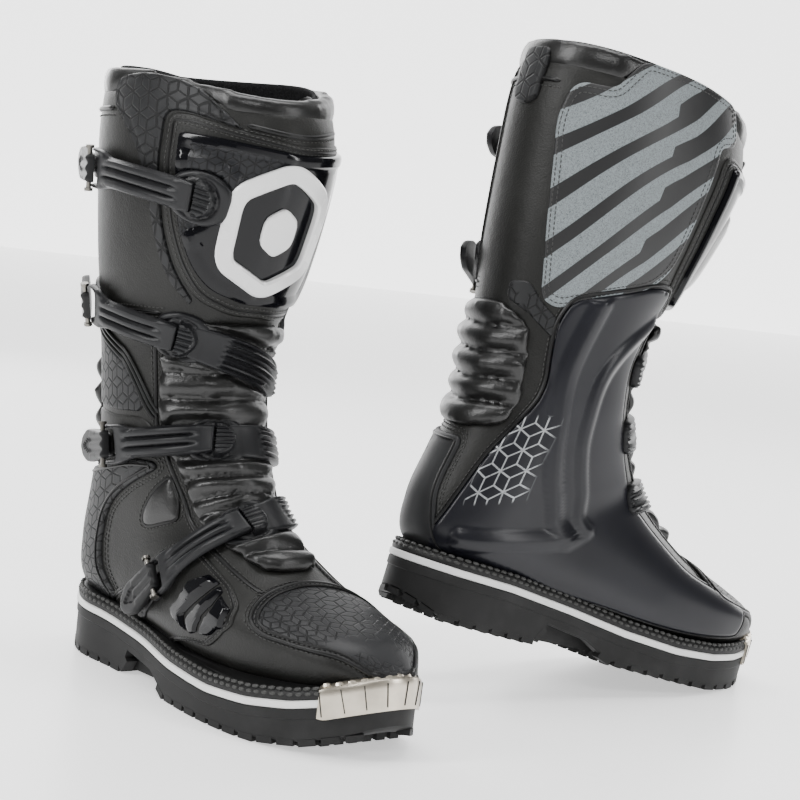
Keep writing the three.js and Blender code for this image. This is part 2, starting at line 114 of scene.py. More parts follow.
def section_at(row):
    row = np.clip(row, 0, LAST)
    i = np.clip(np.floor(row).astype(int), 0, LAST - 1)
    t = (row - i)[:, None]
    a, b = SECTIONS[np.maximum(i - 1, 0)], SECTIONS[i]
    c, d = SECTIONS[i + 1], SECTIONS[np.minimum(i + 2, LAST)]
    return curve_between(a, b, c, d, t)


def signed_power(value, exponent):
    return np.sign(value) * np.abs(value) ** exponent


def ring_point(row, angle):
    front_x, front_z, back_x, back_z, outer, inner, front_square, back_square, shift = section_at(row).T
    turn = np.radians(angle)
    cos, sin = np.cos(turn), np.sin(turn)
    square = np.where(cos > 0, front_square, back_square)
    along = 0.5 * (1 + signed_power(cos, 2 / square))
    across = signed_power(sin, 2 / square) * np.where(sin > 0, outer, inner)
    return np.stack([back_x + (front_x - back_x) * along, shift - across,
                     back_z + (front_z - back_z) * along], 1)


def flattened(row, angle):
    row, angle = np.broadcast_arrays(np.asarray(row, float), np.asarray(angle, float))
    return row.ravel(), angle.ravel()


TOE_MIDDLE = ring_point(np.full(72, float(LAST)), np.arange(72) * 5.0).mean(0)


def bare(row, angle):
    """Points of the skin itself. Rows past the last section close over the toe."""
    row, angle = flattened(row, angle)
    p = ring_point(row, angle)
    past = np.clip(row - LAST, 0, 1) * math.pi / 2
    cap = TOE_MIDDLE + (p - TOE_MIDDLE) * np.cos(past)[:, None] + NOSE * np.sin(past)[:, None]
    made = np.where((row > LAST)[:, None], cap, p)
    # The rim dips at the front, more on the outer side.
    round_it = np.exp(-0.5 * ((angle - RIM_DIP_AT) / RIM_DIP_SPREAD) ** 2)
    made[:, 2] -= RIM_DIP * round_it * np.clip(1 - row / RIM_DIP_ROWS, 0, 1) ** 1.5
    return made


def outward(row, angle):
    row, angle = flattened(row, angle)
    down = bare(np.minimum(row + 0.04, LAST + 0.96), angle) - bare(np.maximum(row - 0.04, 0), angle)
    round_it = bare(row, angle + 2) - bare(row, angle - 2)
    n = -np.cross(down, round_it)
    return n / np.maximum(np.linalg.norm(n, axis=1, keepdims=True), 1e-9)


def skin(row, angle, lift=0.0):
    lift = np.asarray(lift, float)
    return bare(row, angle) + outward(row, angle) * (lift[:, None] if lift.ndim else lift)


# ---------------------------------------------------------------- meshes
def unit(v):
    return v / np.maximum(np.linalg.norm(v, axis=-1, keepdims=True), 1e-12)


def run_along(points):
    """The length of a line up to each of its points."""
    return np.r_[0, np.cumsum(np.linalg.norm(np.diff(points, axis=0), axis=1))]


def signed_area(edge):
    """The area within a flat closed line, below 0 where the line runs clockwise."""
    return 0.5 * np.sum(edge[:, 0] * np.roll(edge[:, 1], -1) - np.roll(edge[:, 0], -1) * edge[:, 1])


def rounding(d, reach):
    """A rounded edge's height: 0 at the edge, and 1 from reach mm in."""
    return np.sqrt(1 - (1 - np.clip(d / reach, 0, 1)) ** 2)


def tree_of(points):
    tree = KDTree(len(points))
    for i, point in enumerate(points):
        tree.insert(point, i)
    tree.balance()
    return tree


class Shape:
    """Points in a boot's own millimetres, with faces and a pattern place (u, v) in millimetres each."""

    def __init__(self, points, faces, uv=None):
        self.points = np.asarray(points, float)
        self.faces = [tuple(f) for f in faces]
        self.uv = np.zeros((len(self.points), 2)) if uv is None else np.asarray(uv, float)

    def __add__(self, other):
        n = len(self.points)
        faces = self.faces + [tuple(i + n for i in f) for f in other.faces]
        return Shape(np.vstack([self.points, other.points]), faces, np.vstack([self.uv, other.uv]))


def mesh_object(name, shape, matrix, material, sharp):
    """The shape as an object at the origin, with its place in its mesh."""
    v = np.c_[shape.points, np.ones(len(shape.points))] @ np.array(matrix).T
    mirrored = matrix.determinant() < 0
    faces = [f[::-1] for f in shape.faces] if mirrored else shape.faces
    mesh = bpy.data.meshes.new(name)
    mesh.from_pydata(v[:, :3].tolist(), [], faces)
    layer = mesh.uv_layers.new(name="UVMap")
    loops = np.zeros(len(mesh.loops), int)
    mesh.loops.foreach_get("vertex_index", loops)
    layer.data.foreach_set("uv", (shape.uv[loops] * 0.01).ravel())
    mesh.shade_smooth()
    if sharp:
        mesh.set_sharp_from_angle(angle=math.radians(sharp))
    obj = bpy.data.objects.new(name, mesh)
    bpy.context.scene.collection.objects.link(obj)
    mesh.materials.append(material)
    return obj


def local_point(side, x, y, z):
    return SIDES[side] @ Vector((x, y, z))


def fasten(obj, side, how):
    """Rides on a body of its boot, or, where how is "bend", is baked in place and rides on no body."""
    if how == "bend":
        side + "_foot"
        side + "_shaft"
        local_point(side, FLEX_X, 0, FLEX_LOW)
        local_point(side, FLEX_X, 0, FLEX_HIGH)
        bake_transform(obj)
    else:
        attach(obj, side + "_" + how)


def both(name, shape, paint, how, replaces=(), sharp=40.0):
    """Places a shape on both boots, fastens each copy by how, and hides the CAD nodes that it replaces."""
    for side, matrix in SIDES.items():
        obj = mesh_object(side + "_" + name, shape, matrix, paint.data, sharp)
        fasten(obj, side, how)
        if replaces:
            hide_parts(*[side + "_" + node for node in replaces])


def recalculated(shape):
    """The shape with its doubles merged and its faces turned outward."""
    mesh = bpy.data.meshes.new("scratch")
    mesh.from_pydata(shape.points.tolist(), [], shape.faces)
    b = bmesh.new()
    b.from_mesh(mesh)
    bmesh.ops.recalc_face_normals(b, faces=b.faces)
    faces = [tuple(v.index for v in f.verts) for f in b.faces]
    b.free()
    bpy.data.meshes.remove(mesh)
    return Shape(shape.points, faces, shape.uv)


def grid_faces(rows, columns, closed=False):
    """Quads of a grid of points, row by row, closed round its columns where asked."""
    faces = []
    last = columns if closed else columns - 1
    for i in range(rows - 1):
        for j in range(last):
            a, b = i * columns + j, i * columns + (j + 1) % columns
            faces.append((a, a + columns, b + columns, b))
    return faces


# ---------------------------------------------------------------- outlines and reliefs
ROW_MM, DEGREE_MM = 28.0, 1.0  # the chart in which outlines are drawn: mm a row and mm a degree


def skin_chart(flat, lift):
    return skin(flat[:, 1] / ROW_MM, flat[:, 0] / DEGREE_MM, lift)


def outline(places, radius=6.0, step=1.6):
    """A closed line through (row, angle) corners, each rounded, as chart points."""
    corners = np.array([[p[1] * DEGREE_MM, p[0] * ROW_MM] for p in places], float)
    radii = [p[2] if len(p) > 2 else radius for p in places]
    return rounded(corners, radii, step)


def rounded(corners, radii, step):
    n, made = len(corners), []
    for i in range(n):
        before, here, after = corners[i - 1], corners[i], corners[(i + 1) % n]
        to_before, to_after = before - here, after - here
        a, b = np.linalg.norm(to_before), np.linalg.norm(to_after)
        r = min(radii[i], 0.48 * a, 0.48 * b)
        start, end = here + to_before / a * r, here + to_after / b * r
        if made:
            previous = made[-1]
            count = max(1, int(np.linalg.norm(start - previous) / step))
            made += [previous + (start - previous) * k / count for k in range(1, count + 1)]
        else:
            made.append(start)
        count = max(2, int(1.6 * r / step))
        for k in range(1, count + 1):
            t = k / count
            made.append((1 - t) ** 2 * start + 2 * t * (1 - t) * here + t * t * end)
    first, previous = made[0], made[-1]
    count = max(1, int(np.linalg.norm(first - previous) / step))
    made += [previous + (first - previous) * k / count for k in range(1, count)]
    return np.array(made)


def inside(points, edge):
    x, y = points[:, 0][:, None], points[:, 1][:, None]
    x1, y1 = edge[:, 0][None], edge[:, 1][None]
    x2, y2 = np.roll(edge[:, 0], -1)[None], np.roll(edge[:, 1], -1)[None]
    crosses = ((y1 > y) != (y2 > y)) & (x < (x2 - x1) * (y - y1) / np.where(y2 == y1, 1e-9, y2 - y1) + x1)
    return crosses.sum(1) % 2 == 1


def nearest(points, targets):
    """The distance from each point to the target nearest to it."""
    tree = tree_of(targets)
    return np.array([tree.find(p)[2] for p in points])


def nearest_flat(points, targets):
    return nearest([(*p, 0) for p in points], [(*p, 0) for p in targets])


def dense(line, closed=True, step=0.5):
    """A polyline in space, with points added so that none is further than step from the next."""
    ends = np.vstack([line, line[:1]]) if closed else line
    parts = []
    for a, b in zip(ends[:-1], ends[1:]):
        count = max(1, int(np.linalg.norm(b - a) / step))
        parts.append(a + (b - a) * (np.arange(count) / count)[:, None])
    return np.vstack(parts + [ends[-1:]])


def relief(edge, height, chart=skin_chart, spacing=2.6, under=-1.2, rings=(0.5, 1.1, 1.9, 2.9), lines=()):
    """A closed slab over an outline.

    height(d, flat, xyz) gives the lift of its top at points that lie d mm in from its edge, at flat in the
    chart and xyz on the skin. under is the lift of its underside. lines are chart lines that the mesh follows.
    """
    if signed_area(edge) < 0:
        edge = edge[::-1]
    along = np.roll(edge, -1, 0) - np.roll(edge, 1, 0)
    inward = unit(np.stack([-along[:, 1], along[:, 0]], 1))
    lo, hi = edge.min(0), edge.max(0)
    xs = np.arange(lo[0], hi[0] + spacing, spacing)
    ys = np.arange(lo[1], hi[1] + spacing, spacing * 0.87)
    gx, gy = np.meshgrid(xs, ys)
    gx = gx + (np.arange(len(ys)) % 2)[:, None] * spacing / 2
    grid = np.stack([gx.ravel(), gy.ravel()], 1)
    taken = [edge]
    for reach in rings:
        ring = edge + inward * reach
        ring = ring[inside(ring, edge)]
        taken.append(ring[nearest_flat(ring, edge) > 0.85 * reach])
    taken += [line[inside(line, edge)] for line in lines]
    grid = grid[inside(grid, edge)]
    if len(grid):
        grid = grid[nearest_flat(grid, np.vstack(taken)) > 0.62 * spacing]
    flat = np.vstack(taken + [grid])
    verts, _, faces, _, _, _ = geometry.delaunay_2d_cdt(
        [Vector(p) for p in flat], [], [list(range(len(edge)))], 1, 1e-4)
    flat = np.array([v[:] for v in verts])
    faces = [tuple(f) for f in faces]
    on_skin = chart(flat, np.zeros(len(flat)))
    rim = dense(chart(edge, np.zeros(len(edge))))
    d = nearest(on_skin.tolist(), rim.tolist())
    top = chart(flat, height(d, flat, on_skin))
    bottom = chart(flat, np.full(len(flat), under))
    n = len(flat)
    sides = dict.fromkeys((a, b) for f in faces for a, b in zip(f, f[1:] + f[:1]))
    skirt = [(b, a, a + n, b + n) for a, b in sides if (b, a) not in sides]
    underside = [tuple(i + n for i in reversed(f)) for f in faces]
    return recalculated(Shape(np.vstack([top, bottom]), faces + underside + skirt, np.vstack([flat,
                                                                                              flat])))


def crowned(thickness, base=0.0, edge=1.6, crown=0.0, reach=14.0):
    """A slab's height: a rounded edge, then flat, with an optional crown that rises over reach mm."""
    def height(d, flat, xyz):
        swell = crown * np.sin(np.clip(d / reach, 0, 1) * math.pi / 2)
        return base + thickness * (0.3 + 0.7 * rounding(d, edge)) + swell
    return height


# ---------------------------------------------------------------- node trees
class Value:
    """A node's output, on which sums can be written."""

    def __init__(self, graph, socket):
        self.graph, self.socket = graph, socket

    def of(self, name):
        return Value(self.graph, self.socket.node.outputs[name])

    def sum_(self, operation, *values):
        return self.graph.node("ShaderNodeMath", {"operation": operation}, *values)

    def __add__(self, other):
        return self.sum_("ADD", self, other)

    def __sub__(self, other):
        return self.sum_("SUBTRACT", self, other)

    def __rsub__(self, other):
        return self.sum_("SUBTRACT", other, self)

    def __mul__(self, other):
        return self.sum_("MULTIPLY", self, other)

    def __truediv__(self, other):
        return self.sum_("DIVIDE", self, other)

    def __mod__(self, other):
        return self.sum_("FLOORED_MODULO", self, other)

    def __lt__(self, other):
        return self.sum_("LESS_THAN", self, other)

    def __abs__(self):
        return self.sum_("ABSOLUTE", self)

    __radd__, __rmul__ = __add__, __mul__

    def least(self, other):
        return self.sum_("MINIMUM", self, other)

    def most(self, other):
        return self.sum_("MAXIMUM", self, other)

    def band(self, low, high):
        """0 at low and 1 at high, smoothly, and held beyond them."""
        ramp = self.graph.node("ShaderNodeMapRange", {"interpolation_type": "SMOOTHSTEP"}, self)
        ramp.socket.node.inputs["From Min"].default_value = low
        ramp.socket.node.inputs["From Max"].default_value = high
        return ramp


class Graph:
    """A node tree, to which every node is added by one method."""

    def __init__(self, tree):
        self.tree = tree

    def feed(self, socket, value):
        if isinstance(value, Value):
            self.tree.links.new(value.socket, socket)
        else:
            socket.default_value = value

    def node(self, kind, settings=None, *values, **named):
        made = self.tree.nodes.new(kind)
        for key, setting in (settings or {}).items():
            setattr(made, key, setting)
        for i, value in enumerate(values):
            self.feed(made.inputs[i], value)
        for key, value in named.items():
            self.feed(made.inputs[key.replace("_", " ")], value)
        outputs = [o for o in made.outputs if o.enabled] or list(made.outputs)
        return Value(self, outputs[0]) if outputs else None


class Paint(Graph):
    """A material with one Principled shader."""

    def __init__(self, name, color, roughness, metallic=0.0, coat=0.0, coat_roughness=0.08, specular=0.5):
        self.data = bpy.data.materials.new(name)
        self.data.use_nodes = True
        super().__init__(self.data.node_tree)
        self.tree.nodes.clear()
        self.shader = self.node("ShaderNodeBsdfPrincipled", None, Roughness=roughness, Metallic=metallic)
        self.node("ShaderNodeOutputMaterial", None, self.shader)
        self.set("Base Color", (*color, 1))
        self.set("Coat Weight", coat)
        self.set("Coat Roughness", coat_roughness)
        self.set("Specular IOR Level", specular)
        self.data.diffuse_color = (*color, 1)
        self.slot = None

    def set(self, socket, value):
        self.feed(self.shader.socket.node.inputs[socket], value)

    def place(self):
        return self.node("ShaderNodeTexCoord").of("Object")

    def pattern(self):
        """The piece's own pattern place, as two numbers in millimetres."""
        uv = self.node("ShaderNodeTexCoord").of("UV")
        split = self.node("ShaderNodeSeparateXYZ", None, uv)
        return split.of("X") * 100, split.of("Y") * 100

    def noise(self, place, scale, detail=2.0, roughness=0.5):
        return self.node("ShaderNodeTexNoise", None, place, Scale=scale, Detail=detail,
                         Roughness=roughness)

    def cells(self, place, scale, feature="F1"):
        return self.node("ShaderNodeTexVoronoi", {"feature": feature}, place, Scale=scale)

    def mix(self, share, a, b):
        made = self.node("ShaderNodeMix", {"data_type": "RGBA"}, share)
        mixer = made.socket.node
        for index, value in ((6, a), (7, b)):
            self.feed(mixer.inputs[index], value if isinstance(value, Value) else (*value, 1))
        return Value(self, mixer.outputs[2])

    def bump(self, height, depth_mm, strength=1.0):
        self.set("Normal", self.node("ShaderNodeBump", None, Strength=strength, Distance=depth_mm * MM,
                                     Height=height))

    def lattice(self, u, v, size):
        """Distance in millimetres to the nearest edge of a lattice of cubes seen corner on."""
        wide, tall = 1.0, 3 ** 0.5
        x, y = u / size, v / size
        ax, ay = x % wide - wide / 2, y % tall - tall / 2
        bx, by = (x + wide / 2) % wide - wide / 2, (y + tall / 2) % tall - tall / 2
        first = (ax * ax + ay * ay) < (bx * bx + by * by)
        cx, cy = abs(first * ax + (1 - first) * bx), first * ay + (1 - first) * by
        border = 0.5 - cx.most(cx * 0.5 + abs(cy) * 0.866)
        upright = cx + (cy < 0)
        slant = abs(cx * 0.5 + cy * 0.866) + ((cx * 0.866 - cy * 0.5) < 0)
        return border.least(upright.least(slant)) * size


def leather(name, color, roughness, grain=1.0, coat=0.0, specular=0.27):
    paint = Paint(name, color, roughness, coat=coat, coat_roughness=0.3, specular=specular)
    place = paint.place()
    pores = paint.cells(place, 820)
    fine = paint.noise(place, 2100, 3)
    broad = paint.noise(place, 17, 3)
    light = tuple(c * 1.5 + 0.001 for c in color)
    creases = paint.noise(place, 95, 4, 0.6)
    paint.set("Base Color", paint.mix(broad.band(0.35, 0.7), color, light))
    paint.set("Roughness", roughness - 0.06 + broad * 0.1 + fine * 0.05)
    paint.bump(pores * 0.8 + fine * 0.5 + broad * 2.0 + creases * 2.2, 0.18 * grain, 0.6)
    return paint


def satin_plastic(name, color, roughness, coat=0.0, size=0.0, reach=None, depth=0.5, painted_groove_shade=None):
    """Moulded plastic with a fine spark-eroded grain, and an engraved lattice of that size over it whose
    grooves are painted near black as painted shade.
    """
    paint = Paint(name, color, roughness, coat=coat, specular=0.3)
    place = paint.place()
    fine = paint.noise(place, 3600, 2)
    broad = paint.noise(place, 22, 3)
    height = fine * 0.08
    tone = paint.mix(broad.band(0.3, 0.75), color, tuple(c * 1.35 + 0.002 for c in color))
    rough = roughness - 0.05 + broad * 0.1 + fine * 0.04
    if size:
        u, v = paint.pattern()
        line = 1 - paint.lattice(u, v, size).band(0.25, 0.75)
        line = line * paint.noise(place, 34, 2).band(0.34, 0.42)
        if reach:
            for value, low, high in ((u, *reach[0]), (v, *reach[1])):
                line = line * value.band(low, low + 4) * (1 - value.band(high - 4, high))
        height = height - line
        # The lattice grooves are painted near black: painted shade in the grooves.
        tone = paint.mix(line * 0.8, tone, painted_groove_shade or tuple(c * 0.12 for c in color))
        rough = rough + line * 0.15
    paint.set("Base Color", tone)
    paint.set("Roughness", rough)
    paint.bump(height, depth, 0.9)
    return paint


def make_striped_print():
    dark, pale = (0.0085, 0.0085, 0.009), (0.200, 0.228, 0.238)
    paint = Paint("striped_print", dark, 0.5)
    place = paint.place()
    u, v = paint.pattern()
    # The stripes climb towards the shin. Partway along, each one is cut back from below.
    pitch, width, cut = 21.2, 13.8, 5.2
    turn = u.sum_("COSINE", u * (math.pi / 180))
    phase = (v + turn * 62.0) % pitch
    wide = width - (turn * 82.0 - v * 0.105).band(-14.7, -13.9) * cut
    bar = phase.band(0.0, 0.3) * (wide - phase).band(0.0, 0.3)
    worn = paint.noise(place, 1500, 2, 0.7).band(0.36, 0.5) * 0.55 + 0.45
    fleck = paint.noise(place, 700, 3, 0.7).band(0.25, 0.6) * 0.3 + 0.7
    ink = bar * worn * fleck
    paint.set("Base Color", paint.mix(ink, dark, pale))
    paint.set("Roughness", 0.42 + ink * 0.2)
    paint.bump(bar * 0.4 + paint.cells(place, 900) * 0.5, 0.12, 0.5)
    return paint


def make_guard_plastic():
    """Smooth blue-black plastic, with lattice lines printed in silver low down at the back."""
    base, silver = (0.0062, 0.0064, 0.0092), (0.36, 0.37, 0.38)
    paint = Paint("guard_plastic", base, 0.4, specular=0.32)
    place = paint.place()
    u, v = paint.pattern()
    edge = paint.lattice(u, v, 15.0)
    window = u.band(-143, -141) * (1 - u.band(-110, -104)) * v.band(168, 171) * (1 - v.band(222, 225))
    line = (1 - edge.band(0.35, 0.6)) * window
    line = line * (0.55 + 0.45 * paint.noise(place, 600, 2).band(0.3, 0.5))
    broad = paint.noise(place, 14, 3)
    tone = paint.mix(broad.band(0.3, 0.75), base, (0.0095, 0.0098, 0.0135))
    paint.set("Base Color", paint.mix(line, tone, silver))
    paint.set("Roughness", 0.25 + broad * 0.12 + line * 0.1)
    paint.set("Metallic", line * 0.5)
    paint.bump(paint.noise(place, 2600, 2) * 0.12 + broad * 0.4, 0.18, 0.5)
    return paint


def make_gloss_armour():
    """Polished plastic. The upper outer corner holds a dull field with a fine lattice, whose recessed lines
    are painted darker as painted shade.
    """
    base = (0.0022, 0.0023, 0.0034)
    paint = Paint("gloss_armour", base, 0.13, coat=0.05, coat_roughness=0.05, specular=0.26)
    place = paint.place()
    u, v = paint.pattern()
    field = u.band(10, 11) * (1 - u.band(54, 55))
    field = field * (v + u * 0.14).band(45, 45.5) * (1 - (v - u * 0.5).band(47, 47.5))
    line = (1 - paint.lattice(u, v, 7.0).band(0.2, 0.5)) * field
    broad = paint.noise(place, 30, 3)
    # The lattice lines are painted darker than the dull field: painted shade in the recessed lines.
    paint.set("Base Color", paint.mix(line, paint.mix(field, base, (0.0095, 0.010, 0.0118)),
                                      (0.0015, 0.0015, 0.002)))
    paint.set("Roughness", 0.09 + broad * 0.08 + field * 0.3)
    paint.bump(broad * 0.3 - line * 1.0, 0.3, 0.7)
    return paint


def make_lining():
    base = (0.006, 0.006, 0.0065)
    paint = Paint("lining_fabric", base, 0.95, specular=0.15)
    place = paint.place()
    fluff = paint.noise(place, 900, 4, 0.7)
    tufts = paint.cells(place, 420)
    paint.set("Base Color", paint.mix(fluff.band(0.35, 0.75), base, (0.03, 0.03, 0.031)))
    paint.set("Roughness", 0.85 + fluff * 0.15)
    paint.bump(fluff + tufts * 0.6, 0.7, 0.8)
    return paint


def make_metal(name, color, roughness, grain=(1.0, 1.0, 14.0)):
    paint = Paint(name, color, roughness, metallic=1.0)
    place = paint.node("ShaderNodeMapping", None, paint.place(), Scale=grain)
    drag = paint.noise(place, 260, 4)
    worn = paint.noise(paint.place(), 60, 3)
    paint.set("Base Color", paint.mix(worn.band(0.3, 0.8), color, tuple(c * 0.72 for c in color)))
    paint.set("Roughness", roughness - 0.05 + drag * 0.14 + worn * 0.08)
    paint.bump(drag, 0.05, 0.4)
    return paint


def make_rubber(name, color, roughness, scuff=1.0):
    paint = Paint(name, color, roughness, specular=0.25)
    place = paint.place()
    dust = paint.noise(place, 38, 4)
    fine = paint.noise(place, 1900, 3)
    paint.set("Base Color", paint.mix(dust.band(0.4, 0.8), color,
                                      tuple(c * 1.6 + 0.005 * scuff for c in color)))
    paint.set("Roughness", roughness - 0.06 + dust * 0.12)
    paint.bump(fine * 0.5 + dust * 0.5, 0.2, 0.5)
    return paint


def make_white_rand():
    paint = Paint("white_rand", (0.78, 0.78, 0.77), 0.42)
    place = paint.place()
    soil = paint.noise(place, 45, 4)
    paint.set("Base Color", paint.mix(soil.band(0.45, 0.9), (0.8, 0.8, 0.79), (0.66, 0.66, 0.64)))
    paint.set("Roughness", 0.36 + soil * 0.12)
    paint.bump(paint.noise(place, 1500, 2), 0.06, 0.5)
    return paint


def make_thread():
    paint = Paint("thread", (0.022, 0.022, 0.021), 0.6)
    twist = paint.noise(paint.place(), 2400, 2)
    paint.set("Base Color", paint.mix(twist, (0.014, 0.014, 0.014), (0.05, 0.05, 0.047)))
    paint.bump(twist, 0.1, 0.6)
    return paint


LEATHER = leather("leather", (0.0082, 0.0082, 0.0074), 0.42, grain=1.2)
SOFT_LEATHER = leather("soft_leather", (0.0040, 0.0040, 0.0038), 0.31, grain=0.8, specular=0.5)
PIPING = leather("piping_leather", (0.0040, 0.0040, 0.0040), 0.36, grain=0.5)
LATTICE = satin_plastic("textured_plastic", (0.0095, 0.0098, 0.0105), 0.44, size=10.5)
HEEL_PLASTIC = satin_plastic("heel_plastic", (0.0095, 0.0098, 0.0105), 0.46, size=12.0,
                             reach=((56, 165), (150, 420)))
TOE_PLASTIC = satin_plastic("toe_plastic", (0.0075, 0.0078, 0.0088), 0.42, size=12.5)
STRAP = satin_plastic("strap_plastic", (0.0072, 0.0074, 0.0084), 0.36)
BUCKLE = satin_plastic("buckle_plastic", (0.0034, 0.0034, 0.0040), 0.40)
GUARD = make_guard_plastic()
ARMOUR = make_gloss_armour()
PRINT = make_striped_print()
LINING = make_lining()
NICKEL = make_metal("toe_plate_metal", (0.66, 0.60, 0.50), 0.26)
STEEL = make_metal("pin_steel", (0.22, 0.21, 0.19), 0.3, (1, 1, 1))
RUBBER = make_rubber("outsole_rubber", (0.0105, 0.0105, 0.0105), 0.62)
WELT = make_rubber("welt_rubber", (0.0095, 0.0095, 0.0095), 0.5, 0.5)
RAND = make_white_rand()
THREAD = make_thread()
EMBLEM = Paint("emblem_white", (0.8, 0.8, 0.8), 0.25, coat=0.4)
EMBLEM.set("Roughness", 0.2 + EMBLEM.noise(EMBLEM.place(), 40, 3) * 0.12)
EMBLEM.bump(EMBLEM.noise(EMBLEM.place(), 900, 2), 0.04, 0.4)
for slot, paints in (("leather", (LEATHER, SOFT_LEATHER, PIPING, PRINT, THREAD)),
                     ("textured_plastic", (LATTICE, HEEL_PLASTIC, TOE_PLASTIC)),
                     ("strap_plastic", (STRAP,)), ("buckle_plastic", (BUCKLE, STEEL)),
                     ("guard_plastic", (GUARD,)), ("gloss_armour", (ARMOUR, EMBLEM)),
                     ("lining_fabric", (LINING,)), ("toe_plate_metal", (NICKEL,)),
                     ("outsole_rubber", (RUBBER,)), ("white_rand", (RAND, WELT))):
    for paint in paints:
        paint.slot = slot


# ---------------------------------------------------------------- repeated pieces, by geometry nodes
def repeating_tree(name, shape):
    """A tree that sets copies of a small shape along the piece's edges. Inputs: Step, Size, Material."""
    tree = bpy.data.node_groups.new(name, "GeometryNodeTree")
    interface = tree.interface
    interface.new_socket("Geometry", in_out="INPUT", socket_type="NodeSocketGeometry")
    for label, kind in (("Step", "NodeSocketFloat"), ("Size", "NodeSocketVector"),
                        ("Material", "NodeSocketMaterial")):
        interface.new_socket(label, in_out="INPUT", socket_type=kind)
    interface.new_socket("Geometry", in_out="OUTPUT", socket_type="NodeSocketGeometry")
    g = Graph(tree)
    given = g.node("NodeGroupInput")
    curve = g.node("GeometryNodeMeshToCurve", None, given)
    upright = g.node("GeometryNodeSetCurveNormal", {"mode": "Z_UP"}, curve)
    points = g.node("GeometryNodeCurveToPoints", {"mode": "LENGTH"}, upright, Length=given.of("Step"))
    if shape == "grain":
        one = g.node("GeometryNodeMeshUVSphere", None, Segments=6, Rings=4, Radius=0.5)
    else:
        one = g.node("GeometryNodeMeshCube")
    placed = g.node("GeometryNodeInstanceOnPoints", None, points, Instance=one,
                    Rotation=points.of("Rotation"), Scale=given.of("Size"))
    real = g.node("GeometryNodeRealizeInstances", None, placed)
    if shape == "grain":
        real = g.node("GeometryNodeSetShadeSmooth", None, real)
    done = g.node("GeometryNodeSetMaterial", None, real, Material=given.of("Material"))
    g.node("NodeGroupOutput", None, done)
    return tree


TREES = {shape: repeating_tree("repeat_" + shape, shape) for shape in ("grain", "block")}


def repeated(lines, shape, step, size, paint):
    """Copies of a small shape every step mm along lines of a boot's own points, as one shape."""
    points, edges = [], []
    for line in lines:
        start = len(points)
        points += [tuple(p * MM) for p in line]
        edges += [(i, i + 1) for i in range(start, len(points) - 1)]
    mesh = bpy.data.meshes.new("lines")
    mesh.from_pydata(points, edges, [])
    obj = bpy.data.objects.new("lines", mesh)
    bpy.context.scene.collection.objects.link(obj)
    modifier = obj.modifiers.new("repeat", "NODES")
    modifier.node_group = TREES[shape]
    given = {"Step": step * MM, "Size": [s * MM for s in size], "Material": paint.data}
    for item in TREES[shape].interface.items_tree:
        if item.in_out == "INPUT" and item.name in given:
            modifier[item.identifier] = given[item.name]
    made = evaluated_shape(obj)
    bpy.data.objects.remove(obj)
    return made


def evaluated_shape(obj):
    """What an object's modifiers make of it, in millimetres."""
    bpy.context.view_layer.update()
    result = bpy.data.meshes.new_from_object(obj.evaluated_get(bpy.context.evaluated_depsgraph_get()))
    points = np.zeros(len(result.vertices) * 3)
    result.vertices.foreach_get("co", points)
    faces = [tuple(p.vertices) for p in result.polygons]
    bpy.data.meshes.remove(result)
    return Shape(points.reshape(-1, 3) / MM, faces)


# ---------------------------------------------------------------- padded pieces, by cloth simulation
VOXEL, PRESSURE, FRAMES = 4.0, 4.0, 20  # the padded pieces' mesh in mm, and what they are blown up by


def stuffed(shape, cap):
    """The shape blown up a little as sewn leather over foam, no point moving further than cap mm."""
    mesh = bpy.data.meshes.new("pad")
    mesh.from_pydata((shape.points * MM).tolist(), [], shape.faces)
    obj = bpy.data.objects.new("pad", mesh)
    bpy.context.scene.collection.objects.link(obj)
    remesh = obj.modifiers.new("remesh", "REMESH")
    remesh.mode = "VOXEL"
    remesh.voxel_size = VOXEL * MM
    start = evaluated_shape(obj)
    obj.modifiers.remove(remesh)
    mesh.clear_geometry()
    mesh.from_pydata((start.points * MM).tolist(), [], start.faces)
    points = start.points
    cloth = obj.modifiers.new("cloth", "CLOTH")
    cloth.settings.use_pressure = True
    cloth.settings.uniform_pressure_force = PRESSURE
    cloth.settings.effector_weights.gravity = 0
    cloth.point_cache.frame_end = FRAMES
    scene = bpy.context.scene
    for number in range(1, FRAMES + 1):
        scene.frame_set(number)
    blown = evaluated_shape(obj).points
    move = blown - points
    length = np.linalg.norm(move, axis=1, keepdims=True)
    points = points + move / np.maximum(length, 1e-9) * np.minimum(length, cap)
    obj.modifiers.remove(cloth)
    scene.frame_set(1)
    mesh.vertices.foreach_set("co", (points * MM).ravel())
    mesh.update()
    subdivide = obj.modifiers.new("subdivide", "SUBSURF")
    subdivide.levels = subdivide.render_levels = 1
    made = evaluated_shape(obj)
    bpy.data.objects.remove(obj)
    bpy.data.meshes.remove(mesh)
    return made


class SkinFinder:
    """Finds the place on the skin nearest to a point in space."""

    def __init__(self):
        rows = np.arange(0, LAST + 0.9, 0.1)
        angles = np.arange(-180, 180, 3.0)
        grid = np.stack(np.meshgrid(rows, angles, indexing="ij"), -1).reshape(-1, 2)
        self.rows, self.angles = grid[:, 0], grid[:, 1]
        self.points = bare(self.rows, self.angles)
        self.normals = outward(self.rows, self.angles)
        self.tree = tree_of(self.points)

    def lift(self, points):
        """The lift of each point above the skin, and the skin's normal there."""
        found = np.array([self.tree.find(p)[1] for p in points])
        normal = self.normals[found]
        return np.einsum("ij,ij->i", points - self.points[found], normal), normal


FINDER = SkinFinder()


def drawn_down(shape, lines, drop):
    """A shape lowered towards the skin by drop(lift, d), where d is the distance from the lines."""
    lines = np.vstack([dense(line, closed=False, step=1.0) for line in lines])
    lift, normal = FINDER.lift(shape.points)
    d = nearest((shape.points - normal * lift[:, None]).tolist(), lines.tolist())
    return Shape(shape.points - normal * drop(lift, d)[:, None], shape.faces, shape.uv)


